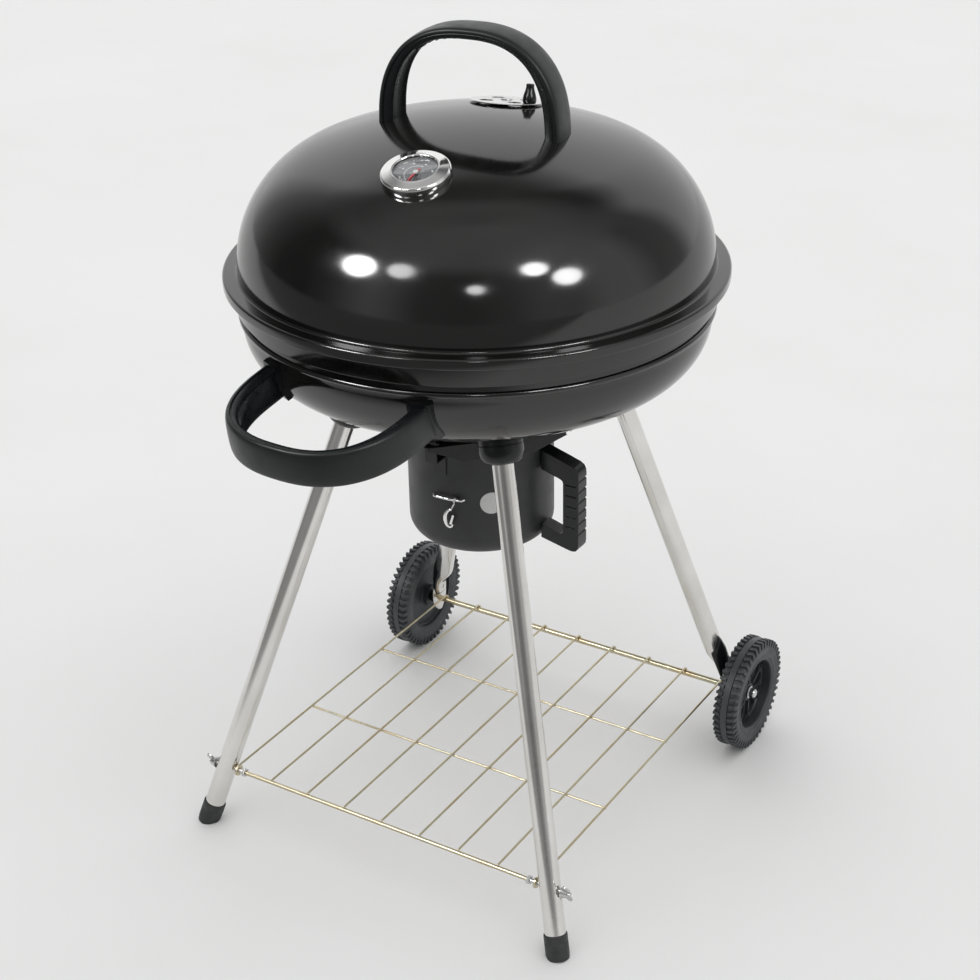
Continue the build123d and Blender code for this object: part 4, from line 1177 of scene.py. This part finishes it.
def lamp(name, spot, target, size, power, colour=(1, 1, 1), disk=False):
    light = bpy.data.lights.new(name, "AREA")
    light.shape = "DISK" if disk else "SQUARE"
    light.size = size
    light.energy = power
    light.color = colour
    thing = bpy.data.objects.new(name, light)
    bpy.context.scene.collection.objects.link(thing)
    aim(thing, spot, target)
    return thing


# Brightness of the room by compass direction (degrees from +X), at three heights
ROOM_LOW = [(-180, 0.20), (-165, 0.08), (-145, 0.08), (-130, 0.20), (-110, 0.58), (-100, 0.46), (-86, 0.20),
            (-60, 0.16), (-42, 0.25), (-27, 0.42), (-10, 0.42), (5, 0.70), (22, 0.70), (38, 0.30), (55, 0.32),
            (68, 0.98), (150, 0.98), (164, 0.45), (180, 0.20)]
ROOM_MIDDLE = [(-180, 0.25), (-140, 0.50), (-100, 0.60), (-60, 0.52), (-10, 0.75), (20, 0.60), (55, 0.34),
               (78, 0.12), (135, 0.12), (150, 0.22), (180, 0.25)]
ROOM_HIGH = [(-180, 0.42), (-120, 0.55), (0, 0.60), (90, 0.40), (140, 0.40), (180, 0.42)]


def compass_ramp(tree, bearing, stops):
    ramp = tree.nodes.new("ShaderNodeValToRGB")
    elements = ramp.color_ramp.elements
    while len(elements) < len(stops):
        elements.new(0.5)
    for element, (degrees, value) in zip(elements, stops):
        element.position = (degrees + 180) / 360
        element.color = (value, value, value, 1)
    tree.links.new(bearing, ramp.inputs["Fac"])
    return ramp.outputs["Color"]


def band_mix(tree, height, low, high, start, end):
    """Low picture below one height, high picture above the other."""
    share = tree.nodes.new("ShaderNodeMapRange")
    share.inputs["From Min"].default_value = start
    share.inputs["From Max"].default_value = end
    tree.links.new(height, share.inputs["Value"])
    mix = tree.nodes.new("ShaderNodeMixRGB")
    tree.links.new(share.outputs["Result"], mix.inputs["Fac"])
    tree.links.new(low, mix.inputs["Color1"])
    tree.links.new(high, mix.inputs["Color2"])
    return mix.outputs["Color"]


def room_light():
    """White backdrop behind the grill, a dim room with bright patches on the viewer's side."""
    world = bpy.data.worlds.new("room")
    bpy.context.scene.world = world
    world.use_nodes = True
    tree = world.node_tree
    coords = tree.nodes.new("ShaderNodeTexCoord")
    split = tree.nodes.new("ShaderNodeSeparateXYZ")
    tree.links.new(coords.outputs["Generated"], split.inputs["Vector"])
    angle = tree.nodes.new("ShaderNodeMath")
    angle.operation = "ARCTAN2"
    tree.links.new(split.outputs["Y"], angle.inputs[0])
    tree.links.new(split.outputs["X"], angle.inputs[1])
    bearing = tree.nodes.new("ShaderNodeMath")
    bearing.operation = "MULTIPLY_ADD"
    bearing.inputs[1].default_value = 1 / (2 * math.pi)
    bearing.inputs[2].default_value = 0.5
    tree.links.new(angle.outputs["Value"], bearing.inputs[0])
    low, middle, high = [compass_ramp(tree, bearing.outputs["Value"], stops)
                         for stops in (ROOM_LOW, ROOM_MIDDLE, ROOM_HIGH)]
    height = split.outputs["Z"]
    sky = band_mix(tree, height, band_mix(tree, height, low, middle, 0.64, 0.78), high, 0.83, 0.93)
    tree.links.new(sky, tree.nodes["Background"].inputs["Color"])
    tree.nodes["Background"].inputs["Strength"].default_value = 1.0


# Ceiling lamps: direction from the lid in degrees, height angle, distance in metres, size, power
CEILING_LAMPS = [
    ("lamp_window_left", -120.3, 32.2, 3.0, 0.84, 44),
    ("lamp_left", -98.2, 37.4, 3.0, 0.60, 9),
    ("lamp_middle", -58.4, 27.4, 3.2, 0.42, 4.5),
    ("lamp_right", -26.7, 39.8, 3.0, 0.58, 15),
    ("lamp_far_right", -13.0, 28.3, 3.0, 0.68, 19),
]


def studio():
    room_light()
    overcast = bpy.data.lights.new("soft_overhead", "SUN")
    overcast.energy = 1.75
    overcast.angle = math.radians(120)
    sky = bpy.data.objects.new("soft_overhead", overcast)
    bpy.context.scene.collection.objects.link(sky)
    aim(sky, (-0.5, 0.4, 3), (0, 0, 0))
    sky.visible_glossy = False
    lid_centre = AXIS + Vector((0, 0, 0.8))
    for name, turn, rise, distance, size, power in CEILING_LAMPS:
        turn, rise = math.radians(turn), math.radians(rise)
        way = Vector((math.cos(turn) * math.cos(rise), math.sin(turn) * math.cos(rise), math.sin(rise)))
        bright = lamp(name, lid_centre + way * distance, lid_centre, size, power, disk=True)
        bright.visible_diffuse = False


CAMERA_SPOT = Vector((1.1279, -1.7796, 1.5244))
CAMERA_TARGET = Vector((-0.1003, 0.1792, 0.3162))
CAMERA_ROLL = -1.07
CAMERA_LENS = 71.33


def camera():
    data = bpy.data.cameras.new("camera")
    data.lens = CAMERA_LENS
    data.sensor_width = 36.0
    thing = bpy.data.objects.new("camera", data)
    bpy.context.scene.collection.objects.link(thing)
    forward = (CAMERA_TARGET - CAMERA_SPOT).normalized()
    right = forward.cross(Vector((0, 0, 1))).normalized()
    up = right.cross(forward)
    roll = math.radians(CAMERA_ROLL)
    x_axis = right * math.cos(roll) + up * math.sin(roll)
    y_axis = up * math.cos(roll) - right * math.sin(roll)
    turn = Matrix((x_axis, y_axis, -forward)).transposed().to_4x4()
    thing.matrix_world = Matrix.Translation(CAMERA_SPOT + AXIS) @ turn
    bpy.context.scene.camera = thing


camera()
stage()
studio()
lid()
bowl()
lid_handle()
bowl_handle()
thermometer()
vent()
for side in (-1, 1):
    front_leg(side)
    rear_leg(side)
    wheel(side)
sockets()
leg_boots()
axle_parts()
rack()
grate("cooking_rods", "cooking_grate", "cooking_grate", COOKING_R, COOKING_Z, 2.0, 17, 2.8, (-130, 0, 130))
grate("charcoal_rods", "charcoal_grate", "charcoal_grate", CHARCOAL_R, CHARCOAL_Z, 2.5, 24, 3.0, (-95, 95))
pot()
pot_grip()
pot_bar_and_hook()
cad_finishes()

bpy.context.scene.view_settings.view_transform = "Standard"
